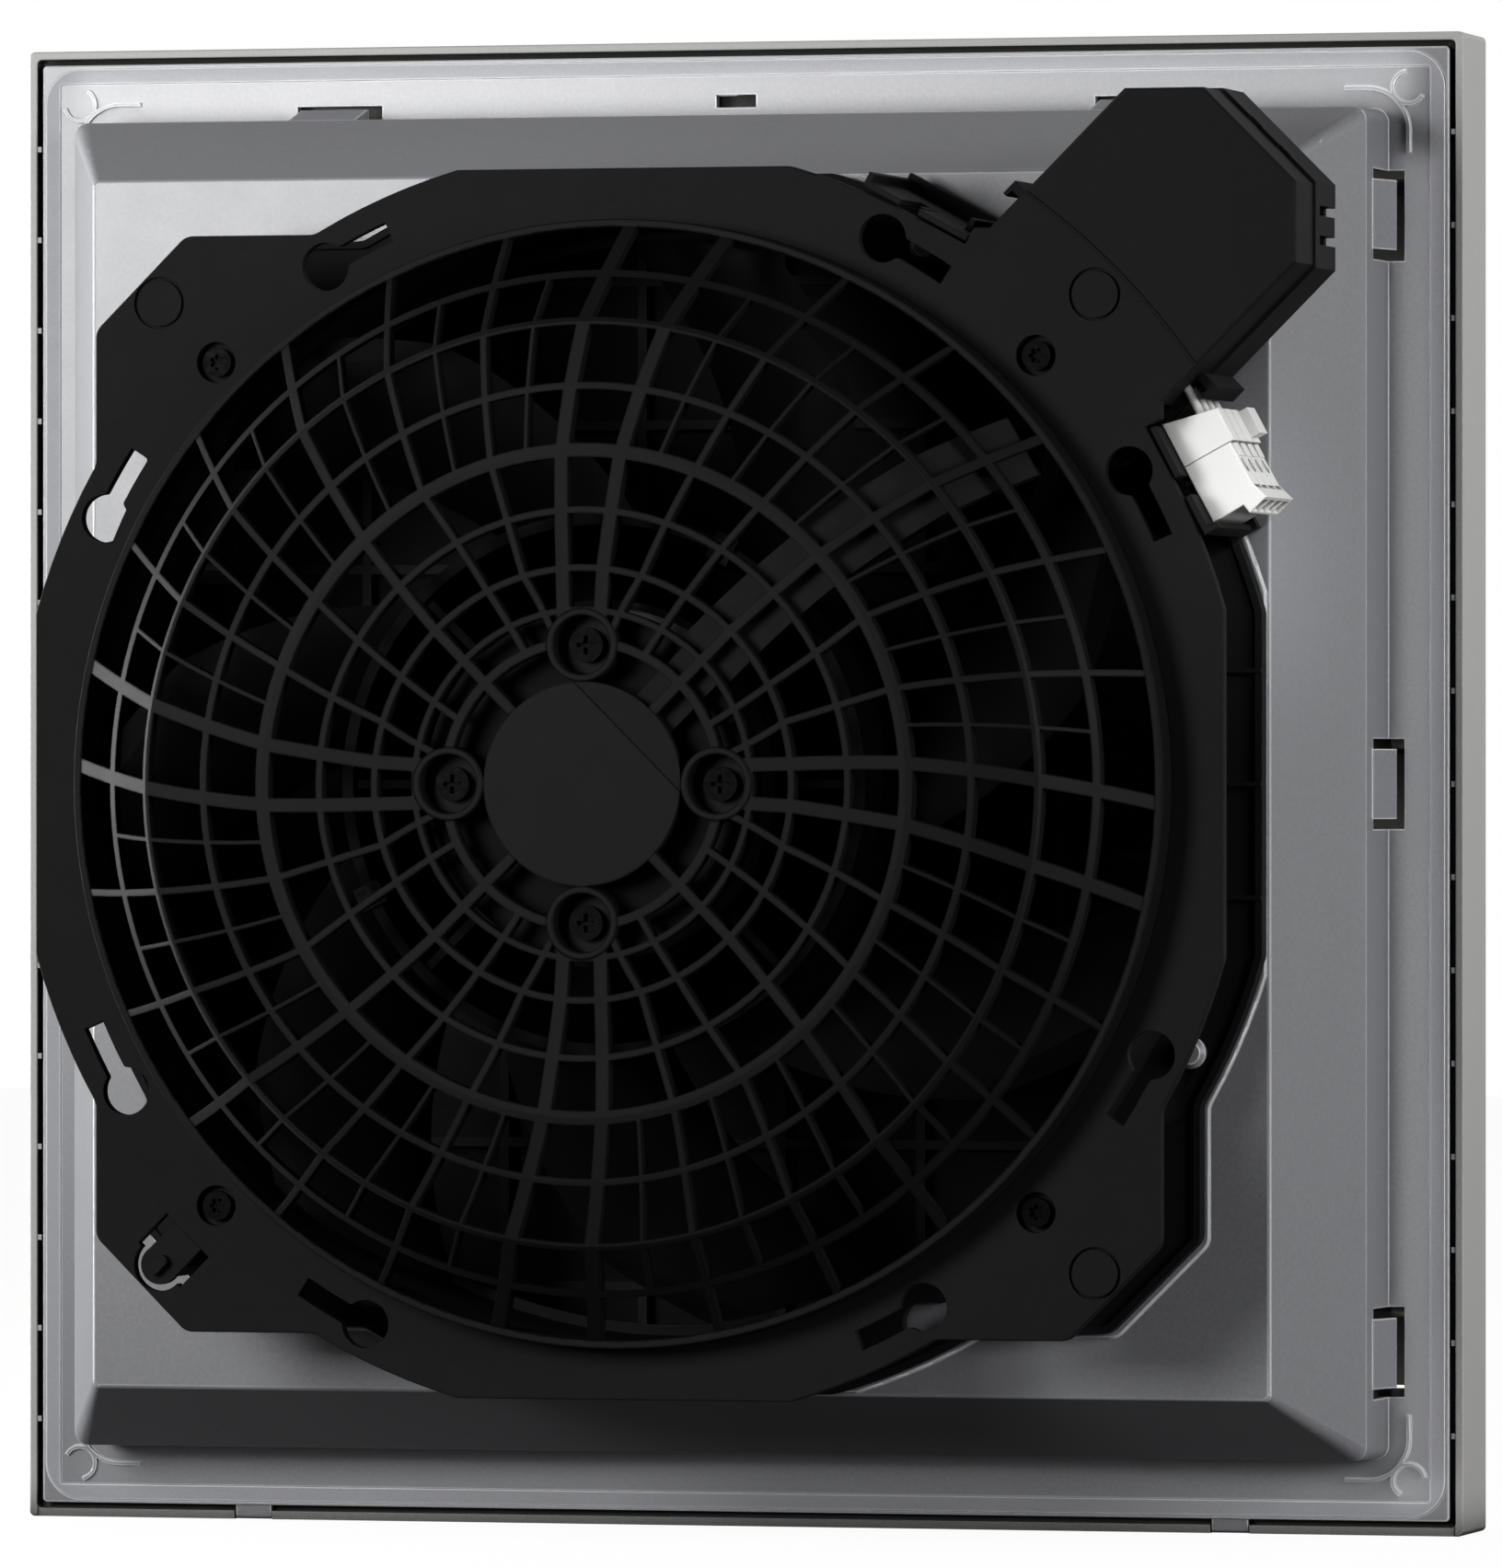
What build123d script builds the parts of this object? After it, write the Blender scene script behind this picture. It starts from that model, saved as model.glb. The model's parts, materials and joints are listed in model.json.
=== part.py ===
"""Filter fan for an enclosure wall: a pale tray with a louvred grille and a black fan module.

Every piece is drawn lying down: x to the right, y up the wall, z from the panel face into
the enclosure. It is stood upright when it is written: +X right, +Z up, -Y into the enclosure.
The origin is the centre of the panel cut-out on the outer face of the panel.
"""
import os
from math import cos, radians, sin, sqrt

from build123d import *

# Clearances, all in millimetres
BODY_GAP = 0.3
SEAT_GAP = 0.05
RUNNING_FIT = 0.05
PIN_SEAT = 0.02
WALL = 2.5
EDGE_ROUND = 0.8
SMALL_ROUND = 0.35

# Panel cut-out and frame
CUTOUT = 292.0
CUTOUT_PLAY = 1.0
FRAME_SIZE = 323.0
FRAME_DEPTH = 24.0
RIM_WALL = 1.8
RIM_GAP = 1.3
FLANGE_THICKNESS = 2.5
RIM_CORNER = 1.2
FLANGE_CORNER = 1.0
SEAL_CORNER = 8.0
SEAL_INNER_CORNER = 0.8
SEAL_OUTER = 157.6
SEAL_INNER = 154.2
SEAL_GROOVE = 0.8
SEAL_PROUD = 0.3

# Tray
WALL_DEPTH = 20.0
WALL_TAPER = 0.4
WALL_CORNER = 3.0
PLATEAU_CORNER = 1.4
PLATEAU_HALF = 130.5
PLATEAU_DEPTH = 50.7
PAD_HEIGHT = 0.8
PAD_GROW = 0.9
AIR_RADIUS = 116.0
TRAY_RIB = 2.0
MAT_LEDGE = 1.5
MAT_THICKNESS = 17.2
GRID_DEPTH = 2.3
GRID_RIB = 2.0
GRID_CELLS = 9
GRID_BORDER = 3.0

# Raised marks in the flange corners
MARK_OFFSET = 149.6
MARK_RADIUS = 3.5
MARK_LINE = 0.9
MARK_BEND = 9.0
MARK_STRAIGHT = 5.0
MARK_HEIGHT = 0.8
MARK_START = 100
MARK_SWEEP = 230

# Latches in the tray walls
LATCH_WIDTH = 19.4
LATCH_SLIT = 2.2
LATCH_ROOT = 13.7
LATCH_REACH = 3.6
LATCH_NOSE = 3.2
LATCH_BULGE = 2.6
LATCH_SIDE_PITCH = 122.0
LATCH_TOP_OFFSET = 90.0

# Louvre grille
LOUVRE_PITCH = 20.0
LOUVRE_COUNT = 15
LOUVRE_THICKNESS = 1.8
LOUVRE_DROP = 16.5
LOUVRE_BACK = 5.0
FACE_BORDER = 8.0
FACE_THICKNESS = 2.0
MULLION_OFFSET = 80.0
HINGE_OFFSET = 110.0
HINGE_LUG = 8.0
HINGE_LUG_RADIUS = 0.85
HINGE_PIN_RADIUS = 0.45
HINGE_Z = -1.6
HINGE_NOTCH = 3.0
HINGE_SILL = 0.3
PIN_LENGTH = 20.0

# Bayonet studs and keyholes
STUD_CIRCLE = 127.8
STUD_ANGLE = 63.6
STUD_NECK = 1.3
STUD_HEAD = 3.4
STUD_HEAD_HEIGHT = 2.4
KEY_RADIUS = 5.1
KEY_SLOT = 4.4
KEY_TRAVEL = 5.8
KEY_END = 1.3
KEY_THROAT = 0.9
REAR_KEY_ANGLES = (30.8, 63.7)
FRONT_KEY_ANGLES = (26.3, STUD_ANGLE - KEY_TRAVEL)

# Shell plates of the fan module
PLATE_RADIUS = 135.0
PLATE_FLAT = 130.0
PLATE_SQUARE = 116.6
PLATE_CHAMFER = 20.0
PLATE_CORNER = 4.0
PLATE_HOLE = 119.0
FRONT_PLATE = 3.2
REAR_PLATE = 3.0
REAR_FACE = 92.3
EDGE_RIM = 1.6
EDGE_RIM_HEIGHT = 1.0
EDGE_RIB_PITCH = 24.0
EDGE_RIB = 1.0
DUCT_WALL = 2.0
SCREW_OFFSET = 89.7
SCREW_HEAD = 3.1
SCREW_HEAD_HEIGHT = 2.2
SCREW_SHANK = 1.75
SCREW_WELL = 4.3
SCREW_WELL_DEPTH = 2.6
POST_RADIUS = 5.0
KNOCKOUT_OFFSET = 102.4
KNOCKOUT_RADIUS = 5.55
KNOCKOUT_GROOVE = 0.6

# Lock tongue
TONGUE_RADIUS = 5.6
TONGUE_HEAD = 4.2
TONGUE_SLOT = 2.0
TONGUE_SLOT_LENGTH = 9.0
TONGUE_PEG = 1.6
TONGUE_ROOT_GAP = 0.12

# Terminal box on the arm
ARM_HALF = 26.0
ARM_END = 191.7
ARM_CHAMFER = 12.0
ARM_PART_RADIUS = 152.0
ARM_START = 118.5
BOX_WALL = 2.0
COVER_DEPTH = 16.5
BASE_SWELL = 0.8
PART_LINE = 0.1
BASE_NOTCH = 2.0
BASE_NOTCH_DEPTH = 2.7
BASE_NOTCH_OFFSET = 3.1
BASE_SLOT = 3.4
BASE_SLOT_PLACES = (4.0, -4.6)
CLIP_PLACE = 147.5
CLIP_THICKNESS = 2.0
CLIP_REACH = 3.9
CLIP_LIP = 1.0
CLIP_LIP_LENGTH = 3.7
CLIP_LEVELS = (58.0, 84.0)

# Guard
GUARD_FACE = 124.1
GUARD_RIB = 3.4
GUARD_RIM_TOP = 100.5
GUARD_RIM_WALL = 1.8
HUB_RADIUS = 21.4
HUB_THICKNESS = 2.5
HUB_CHORD = 13.9
BOSS_CIRCLE = 29.05
BOSS_OUTER = 7.7
BOSS_INNER = 6.2
BOSS_DEPTH = 7.2
BOSS_FLOOR = 1.8
BOSS_PROUD = 0.3
HUB_SCREW_HEAD = 3.65
HUB_SCREW_HEIGHT = 2.2
THIN_RIB = 1.5
THICK_RIB = 3.0
MINOR_RIB = 0.9
GUARD_RINGS = ((29.8, 2.0), (36.4, 1.4), (45.2, 1.5), (57.3, 1.5), (69.8, THICK_RIB),
               (83.3, 1.6), (96.9, 1.6), (107.1, 1.6))
DOME_PROFILE = ((69.8, 0.0), (83.3, 1.8), (96.9, 4.5), (107.1, 13.9), (117.3, 23.6))

# Cable channel
CHANNEL_WIDTH = 14.0
CHANNEL_WALL = 1.6
CHANNEL_DEPTH = 6.0
CHANNEL_LEAD = 2.0
CHANNEL_START = 37.5
CHANNEL_END = 113.5

# Motor and impeller
MOTOR_FLANGE = 36.0
MOTOR_FLANGE_THICKNESS = 4.0
MOTOR_TUBE = 13.0
BEARING_OUTER = 11.0
BEARING_BORE = 4.0
BEARING_WIDTH = 7.0
BEARING_SPREAD = 22.0
SHAFT_END_ROOM = 2.4
STATOR_RADIUS = 32.8
STATOR_LENGTH = 22.0
AIR_GAP = 0.7
MAGNET_WALL = 3.6
CUP_WALL = 1.6
HUB_RING_RADIUS = 57.0
HUB_RING_WALL = 2.4
HUB_REAR = 108.0
HUB_FRONT = 63.0
BLADE_TIP = 115.4
BLADE_COUNT = 7
BLADE_REAR = 97.0
BLADE_FRONT = 61.0
BLADE_THICKNESS = 2.6

# Mains connector and its holder, with the places along the holder counted from its radius
CONNECTOR_ANGLE = 28.2
CONNECTOR_INNER = 136.8
CONNECTOR_FACE = 84.5
CONNECTOR_SPLIT = 1.8
CONNECTOR_TAIL = 11.4
CONNECTOR_JOINT = 0.05
POLE_COUNT = 4
POLE_PITCH = 6.35
HEADER_WIDTH = 12.2
HEADER_HEAD = 12.0
HEADER_SLANT = 2.6
HEADER_FOOT = 14.4
HEADER_FOOT_HEIGHT = 7.0
PLUG_WIDTH = 11.2
PLUG_NOSE = 12.7
ENTRY_WALL = 0.9
ENTRY_DEPTH = 5.0
BUTTON_PLACE = -3.5
BUTTON_RADIUS = 1.4
BUTTON_LENGTH = 4.6
BUTTON_SUNK = 0.5
BUTTON_TRAVEL = 1.5
POLE_GROOVE = 0.5
POLE_PAD = 0.5
HOLDER_WALL = 1.3
HOLDER_FLOOR = 3.0
HOLDER_LEDGE = 3.2
HOLDER_HEAD = 11.6
HOLDER_TAIL = 13.6
HOLDER_TOP = 91.0
HOLDER_GAP = (-4.7, -0.2)
HOLDER_GAP_FLOOR = 75.0
FINGER_PLACE = -1.5
FINGER_TOP = 84.0
HOLDER_RIB_PLACE = 8.6
HOLDER_RIB_REACH = 2.8
HOLDER_RIB_TOP = 81.0
LEAD_RADIUS = 0.95
LEAD_PLACE = 144.7
LEAD_START = 4.0
LEAD_END = 19.0

# Levels worked out from the sizes above
HALF_BASE = CUTOUT / 2 - CUTOUT_PLAY
RIM_OUTER = FRAME_SIZE / 2
RIM_INNER = RIM_OUTER - RIM_WALL
FLANGE_HALF = RIM_INNER - RIM_GAP
PAD_TOP = PLATEAU_DEPTH + PAD_HEIGHT
FRONT_PLATE_LOW = PAD_TOP + BODY_GAP
FRONT_PLATE_TOP = FRONT_PLATE_LOW + FRONT_PLATE
REAR_PLATE_LOW = REAR_FACE - REAR_PLATE
BOSS_TOP = GUARD_FACE + BOSS_PROUD
BOX_SPLIT = REAR_FACE - COVER_DEPTH
MAT_FLOOR = WALL_DEPTH + 0.5
GRID_LOW = MAT_FLOOR - GRID_DEPTH
INNER_HALF = HALF_BASE - WALL
BOSS_SEAT = GUARD_FACE - BOSS_DEPTH + BOSS_FLOOR
MOTOR_TOP = BOSS_SEAT - BOSS_FLOOR
MOTOR_BACK = MOTOR_TOP - MOTOR_FLANGE_THICKNESS
HINGE_Y = (RIM_INNER + RIM_OUTER) / -2
HOLDER_LOW = FRONT_PLATE_TOP + EDGE_RIM_HEIGHT + SEAT_GAP
CONNECTOR_LOW = CONNECTOR_FACE - POLE_COUNT * POLE_PITCH
QUARTERS = (0, 90, 180, 270)
ARM_TURN = Rot(0, 0, 45)


def prism(sketch, low, high):
    """A sketch drawn out from one level to another."""
    return extrude(Pos(0, 0, low) * sketch, high - low)


def block(across, along, levels):
    """A box given by where it starts and ends along x, y and z."""
    spans = (across, along, levels)
    centre = Pos(*[(start + end) / 2 for start, end in spans])
    return centre * Box(*[end - start for start, end in spans])


def square(half, radius):
    """A square with rounded corners, given by half its side."""
    return RectangleRounded(2 * half, 2 * half, radius)


def tapered(half_low, half_high, radius_low, radius_high, low, high):
    """A square block whose size changes evenly between two levels."""
    return loft([Pos(0, 0, low) * square(half_low, radius_low),
                 Pos(0, 0, high) * square(half_high, radius_high)])


def polar(radius, angle):
    """The point at a radius and an angle in degrees."""
    return (radius * cos(radians(angle)), radius * sin(radians(angle)))


def arc_strip(radius, width, start, sweep):
    """A strip of a ring, square at both ends."""
    outer = CenterArc((0, 0), radius + width / 2, start, sweep)
    inner = CenterArc((0, 0), radius - width / 2, start, sweep)
    ends = [Line(outer @ 0, inner @ 0), Line(outer @ 1, inner @ 1)]
    return make_face([outer, inner] + ends)


def ring(outer, inner):
    """A flat ring."""
    return Circle(outer) - Circle(inner)


def around(piece, angles=QUARTERS):
    """Copies of a piece turned about the fan axis, joined."""
    copies = [Rot(0, 0, angle) * piece for angle in angles]
    return copies[0] + copies[1:]


def eased(solid, level, radius, kinds=None):
    """Rounds the edges of a solid that lie at one level, of the named kinds only if any are named."""
    edges = [edge for edge in solid.edges() if abs(edge.center().Z - level) < 0.01
             and (kinds is None or edge.geom_type in kinds)]
    return fillet(edges, radius)


def group(solids):
    """Separate solids that share one node."""
    return Compound(children=[solid for piece in solids for solid in piece.solids()])


def plate_outline(grow=0.0):
    """The outline of both shell plates: a clipped circle joined with a clipped square."""
    disc = Circle(PLATE_RADIUS + grow) & Rectangle(2 * (PLATE_FLAT + grow), 2 * (PLATE_FLAT + grow))
    block = Rectangle(2 * (PLATE_SQUARE + grow), 2 * (PLATE_SQUARE + grow))
    block = chamfer(block.vertices(), PLATE_CHAMFER)
    outline = disc + block
    return fillet(outline.vertices(), PLATE_CORNER)


def keyhole(angle, hand):
    """A round hole with a slot that runs off along the stud circle."""
    centre = Vector(*polar(STUD_CIRCLE, angle))
    slot = arc_strip(STUD_CIRCLE, KEY_SLOT, angle, hand * (KEY_TRAVEL + KEY_END))
    shape = Pos(centre) * Circle(KEY_RADIUS) + slot
    throat = [spot for spot in shape.vertices() if (Vector(spot) - centre).length < KEY_RADIUS + 0.1]
    return fillet(throat, KEY_THROAT)


def arm_rectangle(start, half, end):
    """The outline of the arm, along the diagonal, with its far corners cut off."""
    cut = ARM_CHAMFER + (end - ARM_END)
    points = [(start, -half), (end - cut, -half), (end, cut - half), (end, half - cut),
              (end - cut, half), (start, half)]
    return make_face(Polyline(*points, close=True))


def stood_up(piece):
    """Turns a piece from the drawing frame into the wall's frame."""
    return Rot(90, 0, 0) * piece


# Housing tray and what it holds


def corner_marks():
    """Raised arcs and quarter-round lines that are moulded into each flange corner."""
    mark = Pos(MARK_OFFSET, MARK_OFFSET) * arc_strip(MARK_RADIUS, MARK_LINE, MARK_START, MARK_SWEEP)
    centre = MARK_OFFSET - MARK_BEND
    bow = Pos(centre, centre) * arc_strip(MARK_BEND, MARK_LINE, 0, 90)
    flat = Pos(centre - MARK_STRAIGHT / 2, MARK_OFFSET) * Rectangle(MARK_STRAIGHT, MARK_LINE)
    upright = Pos(MARK_OFFSET, centre - MARK_STRAIGHT / 2) * Rectangle(MARK_LINE, MARK_STRAIGHT)
    return [Rot(0, 0, turn) * prism(line, 0, MARK_HEIGHT)
            for turn in QUARTERS for line in (mark, bow + flat + upright)]


def latch_window():
    """What is cut from the right wall for one latch: a window and a slit in the flange."""
    inner = INNER_HALF - MAT_LEDGE - 1
    reach = HALF_BASE + LATCH_REACH
    window = Pos((inner + reach) / 2, 0) * Rectangle(reach - inner, LATCH_WIDTH)
    return prism(window, -FLANGE_THICKNESS - 1, LATCH_ROOT)


def latch_tongue():
    """The sprung tongue that stays in the window, with its nose behind the panel edge."""
    half = LATCH_WIDTH / 2 - LATCH_SLIT
    inner = INNER_HALF + 0.1
    nose = HALF_BASE + LATCH_BULGE
    profile = make_face(Polyline((inner, LATCH_ROOT + 1), (HALF_BASE - 0.1, LATCH_ROOT + 1),
                                 (HALF_BASE, LATCH_ROOT), (nose, LATCH_NOSE + 1.2),
                                 (nose, LATCH_NOSE), (nose - 2.4, LATCH_NOSE - 0.4),
                                 (inner, LATCH_ROOT - 3), close=True))
    return extrude(Plane.XZ * profile, half, both=True)


def latch_places():
    """Where the latches stand: three on each side, two at the top."""
    sides = [(turn, offset * LATCH_SIDE_PITCH) for turn in (0, 180) for offset in (-1, 0, 1)]
    return sides + [(90, LATCH_TOP_OFFSET), (90, -LATCH_TOP_OFFSET)]


def tray_ribs(outer):
    """Ribs behind the plateau, from the air opening to the walls."""
    reach = HALF_BASE * sqrt(2)
    rib = Pos(reach / 2, 0) * Rectangle(reach, TRAY_RIB)
    star = around(prism(rib, MAT_FLOOR, PLATEAU_DEPTH), [22.5 + 45 * k for k in range(8)])
    return (star & outer) - Pos(0, 0, MAT_FLOOR) * extrude(Circle(AIR_RADIUS), PLATEAU_DEPTH)


def studs():
    """Four mushroom studs on the plateau."""
    head_low = FRONT_PLATE_TOP + BODY_GAP
    profile = make_face(Polyline((0, PLATEAU_DEPTH - 1), (STUD_NECK, PLATEAU_DEPTH - 1),
                                 (STUD_NECK, head_low), (STUD_HEAD, head_low),
                                 (STUD_HEAD, head_low + 1.2),
                                 (STUD_HEAD - 1.0, head_low + STUD_HEAD_HEIGHT),
                                 (0, head_low + STUD_HEAD_HEIGHT), close=True))
    stud = revolve(Plane.XZ * profile, Axis.Z)
    return [Pos(*polar(STUD_CIRCLE, STUD_ANGLE + turn)) * stud for turn in QUARTERS]


def hinge_line(radius, length):
    """Two cylinders on the axis of the grille's hinge."""
    bar = Rot(0, 90, 0) * Cylinder(radius, length)
    return [Pos(side * HINGE_OFFSET, HINGE_Y, HINGE_Z) * bar for side in (-1, 1)]


def hinge_lugs():
    """Two lugs below the flange that hold the hinge pins of the grille."""
    web = block((-HINGE_LUG / 2, HINGE_LUG / 2), (HINGE_Y, -FLANGE_HALF + 0.5),
                (HINGE_Z - HINGE_LUG_RADIUS, HINGE_Z + HINGE_LUG_RADIUS))
    webs = [Pos(side * HINGE_OFFSET, 0, 0) * web for side in (-1, 1)]
    bores = hinge_line(HINGE_PIN_RADIUS + PIN_SEAT, 2 * HINGE_LUG)
    return [knuckle + web - bore for knuckle, web, bore
            in zip(hinge_line(HINGE_LUG_RADIUS, HINGE_LUG), webs, bores)]


def housing_tray():
    """The pale moulding that snaps into the panel and carries everything else."""
    walls = tapered(HALF_BASE, HALF_BASE - WALL_TAPER, WALL_CORNER, WALL_CORNER, 0, WALL_DEPTH)
    slope = tapered(HALF_BASE - WALL_TAPER, PLATEAU_HALF, WALL_CORNER, PLATEAU_CORNER,
                    WALL_DEPTH, PLATEAU_DEPTH)
    outer = eased(walls + slope, PLATEAU_DEPTH, EDGE_ROUND)
    flange = eased(prism(square(FLANGE_HALF, FLANGE_CORNER), -FLANGE_THICKNESS, 0), 0, SMALL_ROUND)
    corner = WALL_CORNER - WALL_TAPER
    mat_room = tapered(INNER_HALF, INNER_HALF - WALL_TAPER, corner, corner, 0, MAT_FLOOR)
    mat_room += prism(square(INNER_HALF, corner), -FLANGE_THICKNESS, 0)
    plenum = tapered(INNER_HALF - WALL_TAPER - MAT_LEDGE, PLATEAU_HALF - WALL, corner, PLATEAU_CORNER,
                     MAT_FLOOR, PLATEAU_DEPTH - WALL)
    pad = plate_outline(PAD_GROW) & square(PLATEAU_HALF - EDGE_ROUND, 3)
    pad = eased(prism(pad, PLATEAU_DEPTH - 1, PAD_TOP), PAD_TOP, SMALL_ROUND)
    tray = flange + outer + pad - mat_room - plenum
    tray -= prism(Circle(AIR_RADIUS), 0, PAD_TOP + 1)
    tray += tray_ribs(outer)
    groove = square(SEAL_OUTER, SEAL_CORNER) - square(SEAL_INNER, SEAL_INNER_CORNER)
    tray -= prism(groove, -SEAL_GROOVE, 1)
    tray -= prism(Pos(0, HALF_BASE + 3.6) * Rectangle(9.0, 2.8), -FLANGE_THICKNESS - 1, 1)
    places = [Rot(0, 0, turn) * Pos(0, offset, 0) for turn, offset in latch_places()]
    tray -= [place * latch_window() for place in places]
    tongues = [place * latch_tongue() for place in places]
    return tray + tongues + corner_marks() + studs() + hinge_lugs()


def panel_seal():
    """The foamed seal in the groove of the flange."""
    outer = square(SEAL_OUTER - SEAT_GAP, SEAL_CORNER - SEAT_GAP)
    inner = square(SEAL_INNER + SEAT_GAP, SEAL_INNER_CORNER + SEAT_GAP)
    return prism(outer - inner, -SEAL_GROOVE, SEAL_PROUD)


def mat_support_grid():
    """A lattice on the ledge of the tray that carries the filter mat."""
    half = INNER_HALF - WALL_TAPER - BODY_GAP
    span = 2 * (half - GRID_BORDER)
    cell = (span - (GRID_CELLS - 1) * GRID_RIB) / GRID_CELLS
    holes = GridLocations(cell + GRID_RIB, cell + GRID_RIB, GRID_CELLS, GRID_CELLS)
    lattice = square(half, 3) - [place * Rectangle(cell, cell) for place in holes]
    return prism(lattice, GRID_LOW, MAT_FLOOR)


def filter_mat():
    """The filter mat as a plain slab."""
    half = INNER_HALF - WALL_TAPER - 2 * BODY_GAP
    return prism(square(half, 3), GRID_LOW - MAT_THICKNESS, GRID_LOW)


def hinge_pins():
    """Two pins for the grille, through the lugs."""
    return group(hinge_line(HINGE_PIN_RADIUS, PIN_LENGTH))


# Louvre grille


def louvre_blade():
    """One slanted blade with a drip nose at its lower, outer edge."""
    front = -FRAME_DEPTH
    lean = LOUVRE_THICKNESS
    profile = make_face(Polyline((lean, -LOUVRE_BACK), (-lean, -LOUVRE_BACK),
                                 (-LOUVRE_DROP - lean, front + 2.6), (-LOUVRE_DROP - lean, front),
                                 (-LOUVRE_DROP + lean, front), close=True))
    return extrude(Plane.YZ * profile, RIM_INNER + 0.5, both=True)


def louvre_grille():
    """The outer grille: a deep rim, a face with louvres, mullions and hinge knuckles."""
    rim = square(RIM_OUTER, RIM_CORNER) - square(RIM_INNER, FLANGE_CORNER)
    rim = eased(prism(rim, -FRAME_DEPTH + 1, 0), 0, SMALL_ROUND)
    face = prism(square(RIM_OUTER, RIM_CORNER), -FRAME_DEPTH, -FRAME_DEPTH + FACE_THICKNESS)
    face = eased(face, -FRAME_DEPTH, EDGE_ROUND)
    window = square(RIM_INNER - FACE_BORDER, 2)
    parts = [face - prism(window, -FRAME_DEPTH - 1, 0)]
    ledge = square(RIM_INNER + 0.5, FLANGE_CORNER) - square(RIM_INNER - 4, FLANGE_CORNER)
    ledge_low = -FLANGE_THICKNESS - BODY_GAP - 1.5
    parts.append(prism(ledge, ledge_low, ledge_low + 1.5))
    reach = (LOUVRE_COUNT - 1) // 2
    blade = louvre_blade()
    rows = range(-reach, reach + 1)
    parts += [Pos(0, row * LOUVRE_PITCH + LOUVRE_DROP / 2, 0) * blade for row in rows]
    for offset in (-MULLION_OFFSET, 0, MULLION_OFFSET):
        mullion = Pos(offset, 0) * Rectangle(2.0, 2 * RIM_INNER)
        parts.append(prism(mullion, -FRAME_DEPTH + 1.5, -LOUVRE_BACK))
    for side in (-1, 1):
        rib = Pos(side * (RIM_INNER - 0.2), 0, -FRAME_DEPTH / 4) * Box(1.4, 1.2, FRAME_DEPTH / 2 - 0.6)
        parts += [Pos(0, row * LOUVRE_PITCH, 0) * rib for row in rows]
    grille = rim + parts
    grille -= Pos(0, -RIM_OUTER, 0) * Box(2 * RIM_INNER, 2 * RIM_WALL + 1, 2 * HINGE_SILL)
    room = HINGE_LUG / 2 + BODY_GAP
    notch = block((-room, room), (-RIM_OUTER - 1, -RIM_INNER + 1), (-HINGE_NOTCH, 1))
    grille -= [Pos(side * HINGE_OFFSET, 0, 0) * notch for side in (-1, 1)]
    return grille - hinge_line(HINGE_PIN_RADIUS + RUNNING_FIT, PIN_LENGTH + 2 * BODY_GAP)


# Shells of the fan module


def front_shell():
    """The front plate with its rim and ribs, the air duct and the posts for the screws."""
    outline = plate_outline()
    keys = around(keyhole(FRONT_KEY_ANGLES[0], 1) + keyhole(FRONT_KEY_ANGLES[1], 1))
    plate = prism(outline - Circle(PLATE_HOLE - 1) - keys, FRONT_PLATE_LOW, FRONT_PLATE_TOP)
    rim = outline - offset(outline, -EDGE_RIM)
    plate += prism(rim, FRONT_PLATE_TOP, FRONT_PLATE_TOP + EDGE_RIM_HEIGHT)
    duct_top = REAR_PLATE_LOW - SEAT_GAP
    plate += prism(ring(PLATE_HOLE + DUCT_WALL - 1, PLATE_HOLE - 1), FRONT_PLATE_TOP, duct_top)
    for turn in QUARTERS:
        for row in (-1, 0, 1):
            length = PLATE_FLAT - PLATE_HOLE
            rib = Pos(PLATE_HOLE + length / 2, row * EDGE_RIB_PITCH) * Rectangle(length, EDGE_RIB)
            rib = prism(rib, FRONT_PLATE_TOP, FRONT_PLATE_TOP + 2 * EDGE_RIM_HEIGHT)
            plate += Rot(0, 0, turn) * rib
    post = prism(Circle(POST_RADIUS) - Circle(SCREW_SHANK), FRONT_PLATE_TOP, duct_top)
    plate += around(Pos(SCREW_OFFSET, SCREW_OFFSET, 0) * post)
    tongue_hole = Pos(-KNOCKOUT_OFFSET, -KNOCKOUT_OFFSET) * Circle(TONGUE_RADIUS)
    plate -= prism(tongue_hole, FRONT_PLATE_LOW - 1, FRONT_PLATE_TOP + 1)
    return plate


def tongue_cut():
    """The gap round the lock tongue, at the lower left corner of the rear plate."""
    reach = TONGUE_SLOT_LENGTH
    width = 2 * (TONGUE_RADIUS + TONGUE_SLOT / 2)
    stem = Pos(reach / 2, 0) * Rectangle(reach, width)
    cut = Circle(TONGUE_RADIUS) + stem
    return Pos(-KNOCKOUT_OFFSET, -KNOCKOUT_OFFSET) * (Rot(0, 0, 45) * cut)


def tongue_shape():
    """The tongue itself: a round head on a stem that runs towards the fan axis."""
    root = TONGUE_SLOT_LENGTH - TONGUE_ROOT_GAP
    stem = Pos(root / 2, 0) * Rectangle(root, 2 * (TONGUE_RADIUS - TONGUE_SLOT / 2) - 1.0)
    return Pos(-KNOCKOUT_OFFSET, -KNOCKOUT_OFFSET) * (Rot(0, 0, 45) * (Circle(TONGUE_HEAD) + stem))


def lock_tongue():
    """A springy tongue with a finger peg and a leg that reaches the tray."""
    blade = prism(tongue_shape(), REAR_PLATE_LOW + 0.6, REAR_FACE - 0.4)
    centre = Pos(-KNOCKOUT_OFFSET, -KNOCKOUT_OFFSET, 0)
    leg_low = PAD_TOP + BODY_GAP
    leg = centre * prism(Rot(0, 0, 45) * Rectangle(3.0, 5.0), leg_low, REAR_PLATE_LOW + 1)
    peg = centre * prism(Rot(0, 0, 45) * SlotOverall(5.0, 2.4), REAR_FACE - 1, REAR_FACE + TONGUE_PEG)
    return blade + leg + peg


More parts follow.
